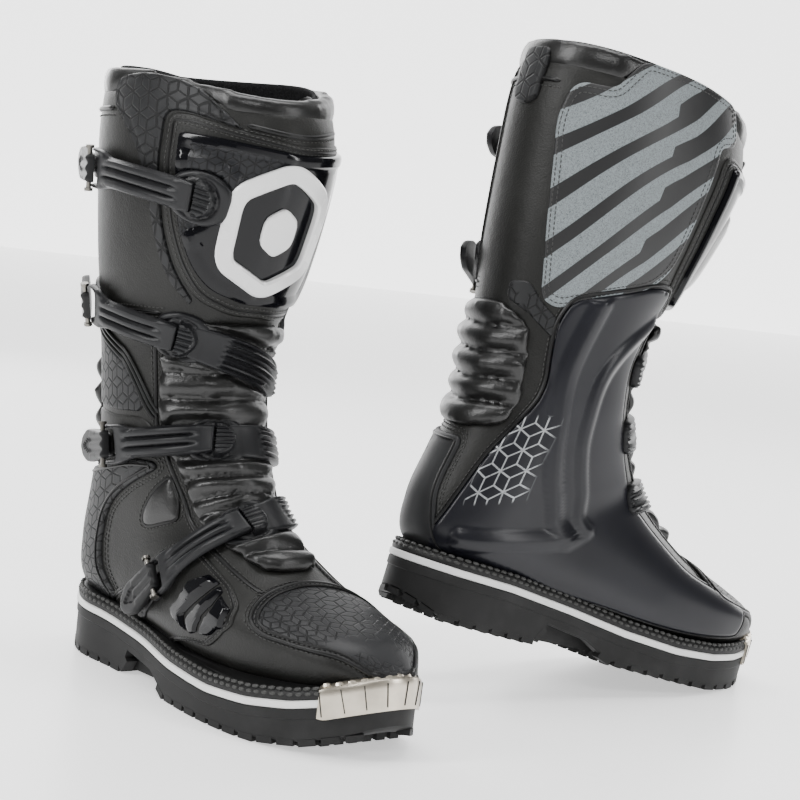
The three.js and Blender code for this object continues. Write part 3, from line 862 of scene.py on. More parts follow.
def sewn(shape, lines, width, floor):
    """A padded shape drawn down to floor mm above the skin along its sewn lines."""
    return drawn_down(shape, lines, lambda lift, d: np.maximum(lift - floor, 0) * (1 - rounding(d,
                                                                                                width)))


def pressed(shape, lines, half, top):
    """A padded shape held down to top mm above the skin within half mm of lines, rising again beyond."""
    return drawn_down(shape, lines, lambda lift, d: np.maximum(lift - top - np.maximum(d - half, 0) * 1.2,
                                                               0))


def track(places, step=2.0):
    """A smooth line through (row, angle) places, as chart points about step mm apart."""
    p = np.array([[a * DEGREE_MM, r * ROW_MM] for r, a in places], float)
    if len(p) == 2:
        count = max(2, int(np.linalg.norm(p[1] - p[0]) / step))
        return p[0] + (p[1] - p[0]) * np.linspace(0, 1, count)[:, None]
    ends = np.vstack([2 * p[0] - p[1], p, 2 * p[-1] - p[-2]])
    made = []
    for a, b, c, d in zip(ends[:-3], ends[1:-2], ends[2:-1], ends[3:]):
        count = max(2, int(np.linalg.norm(c - b) / step))
        t = (np.arange(count) / count)[:, None]
        made.append(curve_between(a, b, c, d, t))
    return np.vstack(made + [p[-1:]])


def offset(line, distance, closed=False):
    """A chart line moved sideways."""
    if closed:
        along = np.roll(line, -1, 0) - np.roll(line, 1, 0)
        distance = distance if signed_area(line) > 0 else -distance
    else:
        along = np.gradient(line, axis=0)
    return line + unit(np.stack([-along[:, 1], along[:, 0]], 1)) * distance


def sweep(line, lift, profile, closed=False, taper=0.0):
    """A profile of (across, up) mm points carried along a chart line at a lift above the skin."""
    rows, angles = line[:, 1] / ROW_MM, line[:, 0] / DEGREE_MM
    return carried(skin(rows, angles, lift), outward(rows, angles), profile, closed, taper)


def carried(points, normals, profile, closed=False, taper=0.0):
    n, m = len(points), len(profile)
    along = np.roll(points, -1, 0) - np.roll(points, 1, 0) if closed else np.gradient(points, axis=0)
    along = unit(along)
    across = unit(np.cross(along, normals))
    up = np.cross(across, along)
    size = np.ones(n)
    if taper and not closed:
        run = run_along(points)
        near = np.minimum(run, run[-1] - run) / taper
        size = np.sqrt(np.clip(1 - (1 - np.clip(near, 0, 1)) ** 2, 0.02, 1))
    rings = [points[i] + size[i] * (across[i] * a + up[i] * b) for i in range(n) for a, b in profile]
    faces = []
    last = n if closed else n - 1
    for i in range(last):
        for j in range(m):
            a, b = i * m + j, i * m + (j + 1) % m
            c, d = ((i + 1) % n) * m + (j + 1) % m, ((i + 1) % n) * m + j
            faces.append((a, b, c, d))
    if not closed:
        faces += [tuple(reversed(range(m))), tuple((n - 1) * m + j for j in range(m))]
    run = np.repeat(np.arange(n) * 2.0, m)
    return recalculated(Shape(np.array(rings), faces, np.stack([run, np.tile(np.arange(m), n)], 1)))


def round_profile(width, height, corners=8):
    turns = [(j + 0.5) * 2 * math.pi / corners for j in range(corners)]
    return [(width / 2 * math.cos(t), height / 2 * math.sin(t)) for t in turns]


STITCHES = []  # lines of sewing over the skin, as points of a boot's own frame


def stitch(line, lift, closed=False):
    line = np.vstack([line, line[:1]]) if closed else line
    STITCHES.append(skin(line[:, 1] / ROW_MM, line[:, 0] / DEGREE_MM, lift))


def stitch_round(edge, insets, lift):
    """Rows of sewing round an outline, each one inset mm in from it."""
    for inset in insets:
        stitch(offset(edge, inset, closed=True), lift, closed=True)


def welt(name, line, lift, width, height, how, corners=6, closed=True, taper=0.0):
    """A strip of piping along a chart line."""
    both(name, sweep(line, lift, round_profile(width, height, corners), closed, taper), PIPING, how)


def welt_round(name, edge, inset, lift, width, height, how, corners=6):
    welt(name, offset(edge, inset, closed=True), lift, width, height, how, corners)


# ---------------------------------------------------------------- leather shell and lining
def shell(lift_out, lift_in, rows, angles, top_round=1.0):
    """A closed skin from the collar to the toe, whose inner and outer faces meet in a lip at the top."""
    n = len(angles)
    rings = [skin(np.full(n, r), angles, lift_out(r)) for r in rows]
    deep = [skin(np.full(n, r), angles, lift_in(r)) for r in rows[::-1]]
    lip = (rings[0] + deep[-1]) / 2 + np.array([0, 0, top_round])
    points = np.vstack(rings + deep + [lip])
    outer = grid_faces(len(rows), n, closed=True)
    faces = outer + [tuple(i + len(rows) * n for i in f) for f in outer]
    top, low, base = 0, (2 * len(rows) - 1) * n, 2 * len(rows) * n
    for j in range(n):
        k = (j + 1) % n
        faces += [(top + j, top + k, base + k, base + j), (base + j, base + k, low + k, low + j)]
    faces.append(tuple((len(rows) - 1) * n + j for j in range(n)))
    faces.append(tuple(len(rows) * n + j for j in range(n)))
    row_of = np.concatenate([np.repeat(rows, n), np.repeat(rows[::-1], n), np.full(n, rows[0])])
    uv = np.stack([np.tile(angles, 2 * len(rows) + 1) * DEGREE_MM, row_of * ROW_MM], 1)
    return recalculated(Shape(points, faces, uv))


SHELL_ROWS = np.r_[np.arange(0.55, 16.0, 0.12), np.arange(16.0, 16.98, 0.09)]
SHELL_ANGLES = np.arange(-180, 180, 2.5)
both("leather_upper", shell(lambda r: 0.0, lambda r: -2.2, SHELL_ROWS, SHELL_ANGLES), LEATHER, "bend",
     replaces=("foot_upper", "shaft_upper"), sharp=0)


def sleeve(r):
    """How far the lining stands in from the skin: more at the collar, which it closes from the inside."""
    return -2.4 - 4.8 * math.exp(-(r / 0.45) ** 2)


LINING_ROWS = np.r_[np.arange(0.0, 1.2, 0.12), np.arange(1.2, 15.8, 0.3)]
both("lining", shell(sleeve, lambda r: sleeve(r) - 2.2, LINING_ROWS, np.arange(-180, 180, 6.0), top_round=0.6),
     LINING, "bend", sharp=0)

# ---------------------------------------------------------------- panels over the shell
FRAME_EDGE = outline([(0.80, 68, 9), (1.8, 70), (2.5, 65), (3.1, 54, 12), (3.62, 40, 12), (3.90, 17),
                      (3.95, -20), (3.85, -48, 14), (3.2, -61), (2.2, -67), (1.0, -67, 12), (1.15, -30),
                      (1.22, 0), (1.0, 32), (0.78, 56, 9)], 8)
both("shin_frame", relief(FRAME_EDGE, crowned(1.3, edge=1.6)), LEATHER, "shaft")
stitch_round(FRAME_EDGE, (2.0, 5.4), 1.35)
welt_round("shin_frame_welt", FRAME_EDGE, 3.7, 1.3, 1.5, 1.2, "shaft")

TONGUE_EDGE = outline([(0.70, 103, 18), (0.34, 102, 14), (0.14, 84, 12), (0.15, 62, 12), (0.34, 50, 10),
                       (0.60, 42, 10), (0.98, 31, 3), (0.94, 36, 3), (0.76, 56, 8), (0.76, 69.5, 9),
                       (1.8, 71.5), (2.5, 66.5), (3.12, 55.5, 10), (3.62, 42, 3), (3.70, 43, 3),
                       (3.3, 58, 12), (2.6, 71, 12), (1.8, 80, 16), (1.1, 92, 16)], 8)


def tongue_height(d, flat, xyz):
    """A raised panel whose rear rim is grooved along its length."""
    plain = 0.4 + 1.3 * rounding(d, 1.5)
    rim = (d < 4.6) * (flat[:, 1] < 1.9 * ROW_MM)
    groove = 0.6 * rim * (0.5 + 0.5 * np.cos(d * 2 * math.pi / 2.1))
    return plain - groove + 0.5 * (flat[:, 1] < 0.8 * ROW_MM)


both("tongue_panel", relief(TONGUE_EDGE, tongue_height, spacing=1.8), LATTICE, "shaft")

PRINT_EDGE = outline([(0.76, -152, 8), (0.72, -130, 4), (0.12, -118, 5), (0.08, -90), (0.12, -60, 6),
                      (0.84, -58, 5), (0.98, -71, 4), (2.0, -71), (3.0, -67, 10), (3.42, -76, 10),
                      (3.75, -104, 20), (4.02, -128, 6), (3.88, -140, 5), (2.6, -150, 12),
                      (1.4, -157, 12)], 8)
both("striped_panel", relief(PRINT_EDGE, crowned(0.9, edge=1.2)), PRINT, "shaft")
stitch_round(PRINT_EDGE, (1.8, 4.4), 0.95)

REAR_EDGE = outline([(4.0, 142, 6), (4.08, 121), (4.65, 92), (5.52, 71, 4), (5.70, 75, 4), (5.6, 95),
                     (5.45, 116, 8), (5.35, 135, 8), (4.6, 136)], 5)
both("rear_lattice_panel", relief(REAR_EDGE, crowned(1.1, edge=1.4)), LATTICE, "bend")
SLASH = track([(3.88, 124), (4.6, 88), (5.6, 67), (5.85, 61)])
for number, shift in enumerate((-2.6, 0.0, 2.6)):
    welt("rear_slash_%d" % (number + 1), offset(SLASH, shift), 0.9, 2.5, 2.6, "bend", 8, closed=False,
         taper=5)
BAND_EDGE = outline([(5.78, 76, 5), (5.68, 98), (5.52, 118), (5.45, 134, 5), (6.35, 134, 8), (6.5, 100),
                     (6.5, 66, 6), (6.0, 65, 5)], 6)
both("ankle_side_panel", relief(BAND_EDGE, crowned(1.0, edge=1.6, crown=0.5)), LEATHER, "bend")
both("inner_lattice_strip", relief(outline([(3.66, -150, 5), (3.95, -138), (4.25, -122), (4.55, -112, 5),
                                            (4.62, -122, 6), (4.15, -146, 6), (3.95, -165, 6),
                                            (3.7, -165, 4)], 4), crowned(1.3, edge=1.4)), LATTICE, "bend")

HEEL_EDGE = outline([(6.62, 195, 8), (6.60, 150), (6.66, 110), (6.70, 82), (6.86, 67, 5), (7.06, 65, 5),
                     (7.34, 90, 14), (7.75, 101), (8.3, 104), (8.9, 105), (9.5, 112, 6), (9.92, 124, 4),
                     (9.95, 150), (9.95, 200), (9.9, 214, 8), (9.0, 203, 16), (7.6, 193, 14)], 10)
both("heel_counter", relief(HEEL_EDGE, crowned(2.6, edge=2.6)), HEEL_PLASTIC, "foot",
     replaces=("heel_counter",))
stitch_round(HEEL_EDGE, (-2.4, -4.6), 0.25)
welt_round("heel_counter_welt", HEEL_EDGE, 3.4, 2.9, 1.8, 1.2, "foot")

QUARTER_EDGE = outline([(7.30, 57, 5), (7.62, 71, 8), (8.15, 80, 8), (8.62, 80, 6), (8.78, 59, 5),
                        (8.0, 55)], 6)
both("quarter_pad", relief(QUARTER_EDGE, crowned(1.2, edge=3.0, crown=2.0, reach=9)), SOFT_LEATHER,
     "foot")
welt("quarter_pad_welt", QUARTER_EDGE, 0.5, 2.2, 2.0, "foot", 8)
stitch_round(QUARTER_EDGE, (-2.6,), 0.2)

TOE_EDGE = outline([(12.3, -18), (12.1, 3), (12.3, 33), (12.6, 53), (12.9, 67, 6), (13.4, 72, 8),
                    (14.5, 66), (15.3, 50, 10), (15.9, 42), (16.45, 30), (16.6, 0), (16.45, -30),
                    (15.9, -42), (15.3, -48, 10), (14.5, -62), (13.4, -66, 10), (12.8, -52)], 12)
both("toe_pad", relief(TOE_EDGE, crowned(1.7, edge=2.2, crown=0.8, reach=16), spacing=2.2), TOE_PLASTIC,
     "foot", replaces=("toe_pad",))
welt("toe_pad_welt", TOE_EDGE, 1.2, 3.2, 3.2, "foot", 10)
stitch_round(TOE_EDGE, (-2.8, -5.0), 0.25)
welt_round("toe_pad_inner_welt", TOE_EDGE, 5.2, 2.4, 2.0, 1.6, "foot")
stitch_round(TOE_EDGE, (3.0,), 2.3)


# ---------------------------------------------------------------- inner guard
class InnerSide:
    """Finds the place on the skin that lies at x, z, seen from the inner side."""

    def __init__(self):
        rows = np.arange(0, LAST + 0.95, 0.05)
        angles = -np.arange(1, 180, 1.0)
        self.places = np.stack(np.meshgrid(rows, angles, indexing="ij"), -1).reshape(-1, 2)
        self.tree = tree_of([(x, 0, z) for x, _, z in bare(self.places[:, 0], self.places[:, 1])])

    def at(self, x, z, radius=None):
        row, angle = self.places[self.tree.find((x, 0, z))[1]]
        return (row, angle) if radius is None else (row, angle, radius)


def smoothed(line, rounds=12):
    """The line with its small steps evened out and its ends kept."""
    for _ in range(rounds):
        line = np.vstack([line[:1], (line[:-2] + 2 * line[1:-1] + line[2:]) / 4, line[-1:]])
    return line


INNER = InnerSide()
GUARD_EDGE = outline([INNER.at(x, z, r) for x, z, r in ((16, 40, 8), (12, 75, 20), (22, 110, 20),
                                                        (33, 133, 20), (42, 156, 8), (43, 168, 8),
                                                        (36, 205, 6), (40, 221, 5), (68, 236, 20),
                                                        (98, 248, 8), (117, 250, 6), (113, 228, 12),
                                                        (106, 198, 20), (114, 166, 20), (134, 132, 20),
                                                        (166, 100, 20), (214, 72, 20), (250, 66, 12),
                                                        (272, 60, 6), (268, 42, 8), (232, 36, 20),
                                                        (190, 35, 20), (150, 37, 20), (100, 38, 20))], 12)
GUARD_RIDGE = [smoothed(track([INNER.at(x, z) for x, z in line])) for line in (
    ((58, 226), (55, 200), (54, 165), (60, 134), (74, 100), (84, 84), (96, 72)),
    ((112, 228), (92, 205), (80, 175), (82, 140), (96, 105), (110, 82)),
    ((20, 54), (44, 59), (68, 66), (94, 73)))]


def guard_height(d, flat, xyz):
    """A rounded slab with three ridges, each with a rounded crest and a foot that runs out level."""
    plain = 0.4 + 2.3 * rounding(d, 3.0)
    made = plain
    for line, high, wide in zip(GUARD_RIDGE, (3.6, 2.4, 3.0), (8.5, 6.5, 8.0)):
        ridge = dense(skin_chart(line, np.zeros(len(line))), closed=False, step=1.0)
        near = np.clip(nearest(xyz.tolist(), ridge.tolist()) / wide, 0, 1)
        crest = (1.15 - np.sqrt(near ** 2 + 0.0225)) * np.clip((1 - near) / 0.25, 0, 1)
        made = np.maximum(made, plain + high * crest * np.clip(d / 3.0, 0, 1))
    return made


both("inner_guard", relief(GUARD_EDGE, guard_height, spacing=1.7), GUARD, "bend",
     replaces=("medial_guard",), sharp=0)
welt_round("inner_guard_piping", GUARD_EDGE, -1.6, 0.7, 2.6, 2.6, "bend", 8)
stitch_round(GUARD_EDGE, (-4.2,), 0.25)

# ---------------------------------------------------------------- shin plate and its emblem
PLATE_EDGE = outline([(1.12, 61, 4), (1.8, 61.5), (2.5, 57), (3.05, 46, 8), (3.40, 34, 8), (3.64, 12),
                      (3.68, -20), (3.58, -42, 6), (3.1, -52), (2.2, -58), (1.18, -58, 6), (1.32, -30),
                      (1.42, 0), (1.30, 25), (1.18, 45)], 5)
ANCHOR_WELL = track([(2.70, 61), (2.68, 46), (2.50, 35), (2.18, 31), (1.86, 36), (1.72, 48), (1.70, 61)])


def plate_height(d, flat, xyz):
    """A raised bevelled rim, a sunk middle, and a raised bow round the strap's anchor."""
    rise = 0.4 + 4.6 * rounding(d, 2.2)
    sunk = 1.5 * np.clip((d - 6.5) / 1.6, 0, 1)
    well = skin_chart(ANCHOR_WELL, np.zeros(len(ANCHOR_WELL)))
    near = nearest(xyz.tolist(), dense(well, closed=False).tolist())
    bow = 2.0 * np.clip((5.5 - near) / 2.0, 0, 1) * np.clip(d / 5.0, 0, 1)
    return rise - sunk + bow


both("shin_plate", relief(PLATE_EDGE, plate_height, spacing=2.0,
                          rings=(0.5, 1.2, 2.2, 4.2, 6.3, 7.0, 8.2)), ARMOUR, "shaft",
     replaces=("shin_plate",), sharp=30)
BAR_PROFILE = [(-5.6, 0), (-5.4, 2.0), (-4.0, 3.2), (4.0, 3.2), (5.4, 2.0), (5.6, 0), (4.6, -1.6),
               (-4.6, -1.6)]


def hexagon(reach, corner):
    """A regular upright hexagon about the middle of the shin plate."""
    turns = ((-0.5, 1), (-1, 0), (-0.5, -1), (0.5, -1), (1, 0), (0.5, 1))
    return outline([(2.54 + reach * 0.82 * down, 4 + reach * 27 * across, corner) for down,
                    across in turns])


both("shin_emblem", sweep(hexagon(0.98, 6), 4.2, BAR_PROFILE, closed=True), EMBLEM, "shaft")
both("shin_emblem_middle", relief(hexagon(0.36, 3), crowned(1.4, base=5.0), under=2.6), EMBLEM, "shaft")

# ---------------------------------------------------------------- ankle block on its sewn frame
BLOCK_FRAME = outline([(9.78, 142, 5), (9.85, 96), (9.42, 75, 8), (9.55, 57, 6), (10.5, 54), (11.7, 50),
                       (12.3, 57), (12.62, 80, 6), (12.42, 101, 4), (12.05, 106, 8), (11.78, 118),
                       (11.62, 138, 4), (10.8, 142)], 7)
both("block_frame", relief(BLOCK_FRAME, crowned(1.2, edge=1.4)), LEATHER, "foot")
stitch_round(BLOCK_FRAME, (2.0, 5.0), 1.3)
welt_round("block_frame_welt", BLOCK_FRAME, 3.5, 1.2, 1.5, 1.2, "foot")
BLOCK_CREASE = 79.0  # the angle of the block's long edge
for number, corners in enumerate((((11.42, 98), (11.1, 93), (10.80, 74), (10.92, 60), (11.36, 57),
                                   (11.44, 74), (11.46, 91), (11.84, 98)), ((11.46, 58), (11.68, 59),
                                                                            (11.84, 74), (11.86, 88),
                                                                            (12.04, 94), (11.94, 98),
                                                                            (11.58, 91), (11.54, 77)),
                                  ((11.76, 62), (12.26, 66), (12.48, 86), (12.32, 92), (12.12, 94),
                                   (11.96, 88), (11.94, 76)))):

    def facets(d, flat, xyz, high=(5.4, 4.6, 3.9)[number], corners=corners):
        """A face that rises forward and a face that falls away below it, with a chamfered rim."""
        start = min(row for row, angle in corners) * ROW_MM
        fall = 0.13 * np.maximum(flat[:, 0] - BLOCK_CREASE, 0)
        top = high - 1.6 + 0.085 * (flat[:, 1] - start) - fall
        return 1.2 + np.clip(np.minimum(top, 0.5 + d * 1.25), 0.3, None)

    block = outline(corners, 1.2, 1.0)
    crease = np.array([[BLOCK_CREASE, row * ROW_MM] for row in np.arange(10.8, 12.6, 0.02)])
    both("ankle_block_%d" % (number + 1),
         relief(block, facets, under=0.6, spacing=1.3, rings=(0.5, 1.1, 1.9, 2.7), lines=(crease,)),
         ARMOUR, "foot", replaces=("ankle_block",) if number == 0 else (), sharp=24)

# ---------------------------------------------------------------- seams
for name, places, wide in (("outer_seam", [(3.98, 64), (4.5, 63), (5.2, 62), (6.0, 62), (6.9, 57),
                                           (8.1, 52), (9.5, 51), (10.8, 45), (12.2, 35)], 2.6),
                           ("throat_seam", [(3.98, -44), (5.7, -34), (7.6, -29), (9.7, -22), (11.2, -24),
                                            (12.2, -30)], 2.4), ("rear_seam", [(0.62, 158), (1.6, 160),
                                                                               (2.8, 157), (3.78, 150)],
                                                                 2.0), ("calf_seam", [(3.84, 60),
                                                                                      (3.75, 90),
                                                                                      (3.72, 120),
                                                                                      (3.80, 160)], 2.2),
                           ("ankle_seam", [(6.60, 66), (6.56, 90), (6.52, 120), (6.5, 136)], 2.0)):
    line = track(places)
    welt(name, line, 0.35, wide, 1.9, "bend", 8, closed=False, taper=4)
    for away in (-wide, wide):
        stitch(offset(line, away), 0.2)

# ---------------------------------------------------------------- padded rolls and collar
FRONT_EDGE = outline([(3.98, 58, 8), (5.0, 59), (6.1, 59), (6.9, 54), (8.1, 49), (9.3, 47, 10),
                      (10.4, 40), (11.6, 24, 12), (11.7, 0), (11.4, -20, 12), (9.5, -20), (7.6, -26),
                      (5.7, -31), (3.98, -42, 10), (3.96, 0)], 10)
REAR_ROLL_EDGE = outline([(3.98, 168, 10), (4.3, 141), (5.2, 134), (6.3, 136, 10), (6.5, 180),
                          (6.3, 224, 10), (5.2, 226), (4.3, 219), (3.98, 194, 10)], 10)


GAP, PLATING, ANCHOR_HIGH, STRAP_THICK, BASE_HIGH = 0.4, 5.0, 3.4, 3.6, 3.0
STRAP_LIFT, LEVER_LIFT, LEVER_LONG, LEVER_THICK, LEVER_BEHIND, PIN_INSET = 1.3, 1.6, 42.0, 5.0, 2.0, 4.5
# Each closure: where its anchor is, a place that it points towards, the strap's length, the anchor's height
# off the skin, the body, and how far a ribbed band runs on over the front.
BUCKLES = (("calf", (2.2, 48), (1.45, 170), 88.0, GAP + PLATING + GAP, "shaft", None),
           ("shin", (4.3, 47), (3.1, 170), 72.0, GAP, "shaft", 84),
           ("ankle", (6.5, 22), (6.1, 165), 72.0, GAP, "foot", 62),
           ("instep", (9.6, 17), (10.75, 130), 62.0, GAP, "foot", 62))


BELLOWS_ROW_MM = 34.0  # the true length of a row there


def rolls(edge, thickness, channels, cap):
    """A padded panel sewn across into rolls. Its foam is shaped first, then blown up, then sewn."""
    rows = np.array([row for row, _, _ in channels])

    def foam(d, flat, xyz):
        row = flat[:, 1] / ROW_MM
        apart = np.abs(row[:, None] - rows[None]).min(1) * BELLOWS_ROW_MM
        return 0.3 + rounding(d, 7.0) * (1.0 + thickness * rounding(apart, 8.5))

    made = stuffed(relief(edge, foam, spacing=3.0, under=-2.0), cap)
    lines = []
    for row, low, high in channels:
        angles = np.arange(low, high, 2.0)
        sag = 0.04 * np.cos(np.radians(angles * 2)) + 0.02 * np.sin(np.radians(angles * 7 + row * 50))
        lines.append(skin(row + sag, angles, 0.0))
    return sewn(made, lines, 7.5, 0.3)


FRONT_CHANNELS = [(r, -60, 66) for r in (4.42, 5.0, 5.52, 6.12, 6.95, 7.55, 8.25, 8.95, 9.9, 10.75)]
REAR_CHANNELS = [(r, 120, 240) for r in (4.45, 4.95, 5.42, 5.85)]
UNDER_BANDS = []
for _, start, end, *_ in BUCKLES[1:]:
    t = np.linspace(-0.62, 0.16, 40)
    UNDER_BANDS.append(skin(start[0] + (end[0] - start[0]) * t, start[1] + (end[1] - start[1]) * t, 0.0))
FRONT_ROLLS = pressed(rolls(FRONT_EDGE, 5.2, FRONT_CHANNELS, 3.0), UNDER_BANDS, 13.0, 2.4)
both("front_bellows", FRONT_ROLLS, SOFT_LEATHER, "bend",
     replaces=("front_bellows",), sharp=0)
both("rear_bellows", rolls(REAR_ROLL_EDGE, 5.0, REAR_CHANNELS, 3.0), SOFT_LEATHER, "bend",
     replaces=("rear_bellows",), sharp=0)


def collar_ring():
    """A roll that is fuller and deeper at the front, and drawn flat where the side panel laps over it."""
    angles = np.arange(-180, 180, 4.0)
    n = len(angles)
    top = skin(np.zeros(n), angles, 0.0)
    out = outward(np.full(n, 0.2), angles)
    out[:, 2] = 0
    out = unit(out)

    def eased(low, high):
        t = np.clip((angles - low) / (high - low), 0, 1)
        return t * t * (3 - 2 * t)

    lapped = eased(34, 56) * (1 - eased(98, 114)) + eased(-130, -116) * (1 - eased(-64, -50))
    front = 1 - np.clip(np.abs(angles) / 75, 0, 1) ** 2
    outer = (3.0 + 5.0 * front) * (1 - lapped) - 1.0 * lapped
    half = np.maximum(4.8 + 2.4 * front - 2.0 * lapped, 2.5)
    foot = 360.0 - 9.0 * front + 6.0 * lapped
    rings = []
    for j in range(14):
        turn = j * 2 * math.pi / 14
        middle = top + out * (outer - half)[:, None]
        middle[:, 2] = (top[:, 2] + foot) / 2 + 0.5
        tall = (top[:, 2] - foot) / 2 - 1
        rings.append(middle + out * half[:, None] * signed_power(math.cos(turn), 0.9)
                     + np.array([0, 0, 1]) * (tall * signed_power(math.sin(turn), 0.9))[:, None])
    points = np.vstack(rings)
    faces = [(j * n + i, j * n + (i + 1) % n, ((j + 1) % 14) * n + (i + 1) % n, ((j + 1) % 14) * n + i)
             for j in range(14) for i in range(n)]
    return recalculated(Shape(points, faces))


both("collar", stuffed(collar_ring(), 3.0), SOFT_LEATHER, "shaft", replaces=("collar",),
     sharp=0)
for name, low, high in (("collar_binding_back", 104, 206), ("collar_binding_front", -34, 34)):
    line = track([(0.80 + 0.2 * math.exp(-(a / 30) ** 2), a) for a in np.arange(low, high + 1, 8.0)])
    welt(name, line, 0.6, 3.0, 2.6, "shaft", 8, closed=False, taper=4)
    stitch(offset(line, 3.0), 0.3)

TAB_EDGE = outline([(0.30, 171, 5), (0.30, 189, 5), (1.15, 188, 6), (1.25, 180, 6), (1.15, 172, 6)], 5)
both("pull_tab", relief(TAB_EDGE, crowned(2.4, base=1.6, edge=1.8), under=-0.5), LATTICE, "shaft")


# ---------------------------------------------------------------- sole
SOLE_OUTLINE = [(2, 0), (9, -23), (40, -41), (86, -43), (124, -46), (162, -52.5), (204, -56), (244, -53),
                (276, -41), (298, -24), (310, 0), (309, 17), (294, 36), (264, 50), (226, 55), (184, 52),
                (140, 45), (100, 41), (60, 41), (20, 34)]
STAND_LINE = np.array([(-20, 38), (40, 37.5)] + [(s[2], s[3]) for s in SECTIONS[10:]] + [(340, 58)])
UNDERSIDE = np.array([(-20, 20), (2, 9), (20, 0), (98, 0), (103, 13), (138, 9), (158, 0), (250, 0),
                      (280, 4), (300, 11), (315, 20), (340, 34)], float)


def stand_z(x):
    return np.interp(x, STAND_LINE[:, 0], STAND_LINE[:, 1])


def under_z(x):
    return np.interp(x, UNDERSIDE[:, 0], UNDERSIDE[:, 1])


LEVELS = {"stand": stand_z, "under": under_z}  # the line the foot stands on, and the sole's underside


def part_way(t, low, high, a, b):
    return (high - t) / (high - low) * a + (t - low) / (high - low) * b


def sole_outline(grow=0.0, steps=150):
    """The sole's outline from above, as evenly spaced points, moved outward by grow mm."""
    corners = np.array(SOLE_OUTLINE, float)
    made = []
    for i in range(len(corners)):
        a, b, c, d = (corners[(i + k) % len(corners)] for k in (-1, 0, 1, 2))
        k0, k1, k2, k3 = np.cumsum([0] + [np.linalg.norm(v) ** 0.5 for v in (b - a, c - b, d - c)])
        for t in np.linspace(k1, k2, 12, endpoint=False):
            ab, bc, cd = part_way(t, k0, k1, a, b), part_way(t, k1, k2, b, c), part_way(t, k2, k3, c, d)
            made.append(part_way(t, k1, k2, part_way(t, k0, k2, ab, bc), part_way(t, k1, k3, bc, cd)))
    closed = np.vstack([made, made[:1]])
    run = run_along(closed)
    at = np.linspace(0, run[-1], steps, endpoint=False)
    even = np.stack([np.interp(at, run, closed[:, k]) for k in range(2)], 1)
    along = unit(np.roll(even, -1, 0) - np.roll(even, 1, 0)) * np.sign(signed_area(even))
    return even + np.stack([along[:, 1], -along[:, 0]], 1) * grow


def slab(levels, steps=150):
    """A closed piece of the sole: rings of (grow, rise, level) from the top down, closed at both ends."""
    rings = []
    for grow, rise, level in levels:
        edge = sole_outline(grow, steps)
        rings.append(np.c_[edge, LEVELS[level](edge[:, 0]) + rise])
    points = np.vstack(rings)
    faces = [face[::-1] for face in grid_faces(len(rings), steps, closed=True)]
    for first in (0, (len(rings) - 1) * steps):
        loop = [Vector((*points[first + i, :2], 0)) for i in range(steps)]
        faces += [tuple(first + i for i in tri) for tri in geometry.tessellate_polygon([loop])]
    return recalculated(Shape(points, faces))


both("outsole", slab([(-3.0, -7.2, "stand"), (-0.4, -7.2, "stand"), (0.3, -8.2, "stand"), (0.3, -13.0,
                                                                                           "stand"),
                      (-0.5, -13.8, "stand"), (-0.5, 3.6, "under"), (-1.6, 2.6, "under"), (-9.0, 2.6,
                                                                                           "under")]),
     RUBBER, "foot", replaces=("outsole",), sharp=32)
both("white_rand", slab([(-3.0, -2.6, "stand"), (0.0, -2.6, "stand"), (0.9, -3.2, "stand"), (0.9, -6.6,
                                                                                             "stand"),
                         (0.0, -7.2, "stand"), (-3.0, -7.2, "stand")]), RAND, "foot",
     replaces=("midsole",), sharp=32)
both("welt", slab([(-9.0, 3.0, "stand"), (-4.6, 4.4, "stand"), (-1.6, 3.6, "stand"), (-0.2, 1.6, "stand"),
                   (0.3, -1.0, "stand"), (-0.2, -2.5, "stand"), (-4.0, -2.5, "stand")]), WELT, "foot",
     sharp=50)


def sole_path(grow, rise, level="stand", steps=220, low=-100.0, high=400.0):
    """Lines round the sole's edge, where x lies between low and high."""
    edge = sole_outline(grow, steps)
    made = np.c_[edge, LEVELS[level](edge[:, 0]) + rise]
    keep = (edge[:, 0] > low) & (edge[:, 0] < high)
    if keep.all():
        return [np.vstack([made, made[:1]])]
    parts = []
    for start in np.flatnonzero(keep & ~np.roll(keep, 1)):
        places = [(start + k) % steps for k in range(steps)]
        count = next(k for k, i in enumerate(places) if not keep[i])
        parts.append(made[places[:count]])
    return parts


WELT_STITCH = 5.6  # from one stitch of the welt to the next
both("welt_stitching", repeated(sole_path(-1.6, 4.0), "grain", WELT_STITCH, (3.0, 2.6, 5.2), THREAD)
     + repeated(sole_path(-0.4, 1.0), "grain", WELT_STITCH, (2.2, 2.6, 4.6), THREAD), THREAD,
     "foot", sharp=0)
# Lugs round the edge of the tread, and rows of them across the flat heel and forefoot.
EDGE_LINES = (sole_path(-4.4, 2.2, "under", low=4, high=101)
              + sole_path(-4.4, 2.2, "under", low=154, high=300))
both("edge_lugs", repeated(EDGE_LINES, "block", 13.0, (8.0, 4.0, 10.6), RUBBER), RUBBER, "foot", sharp=30)


def tread_rows():
    rows = []
    edge = sole_outline(-10.0)
    for x in (*range(16, 96, 11), *range(164, 296, 11)):
        near = edge[np.abs(edge[:, 0] - x) < 3.0]
        low, high = near[:, 1].min() + 2, near[:, 1].max() - 2
        y = np.linspace(low, high, 30)
        rows.append(np.c_[np.full(30, float(x)), y, np.full(30, under_z(x) + 1.7)])
    return rows


both("tread_lugs", repeated(tread_rows(), "block", 10.0, (3.2, 5.4, 6.4), RUBBER), RUBBER, "foot",
     sharp=30)


# ---------------------------------------------------------------- toe plate
TOE_PLATE_FROM = 287.0  # the x from which the plate runs round the toe
TOE_PLATE_WALL = 1.5


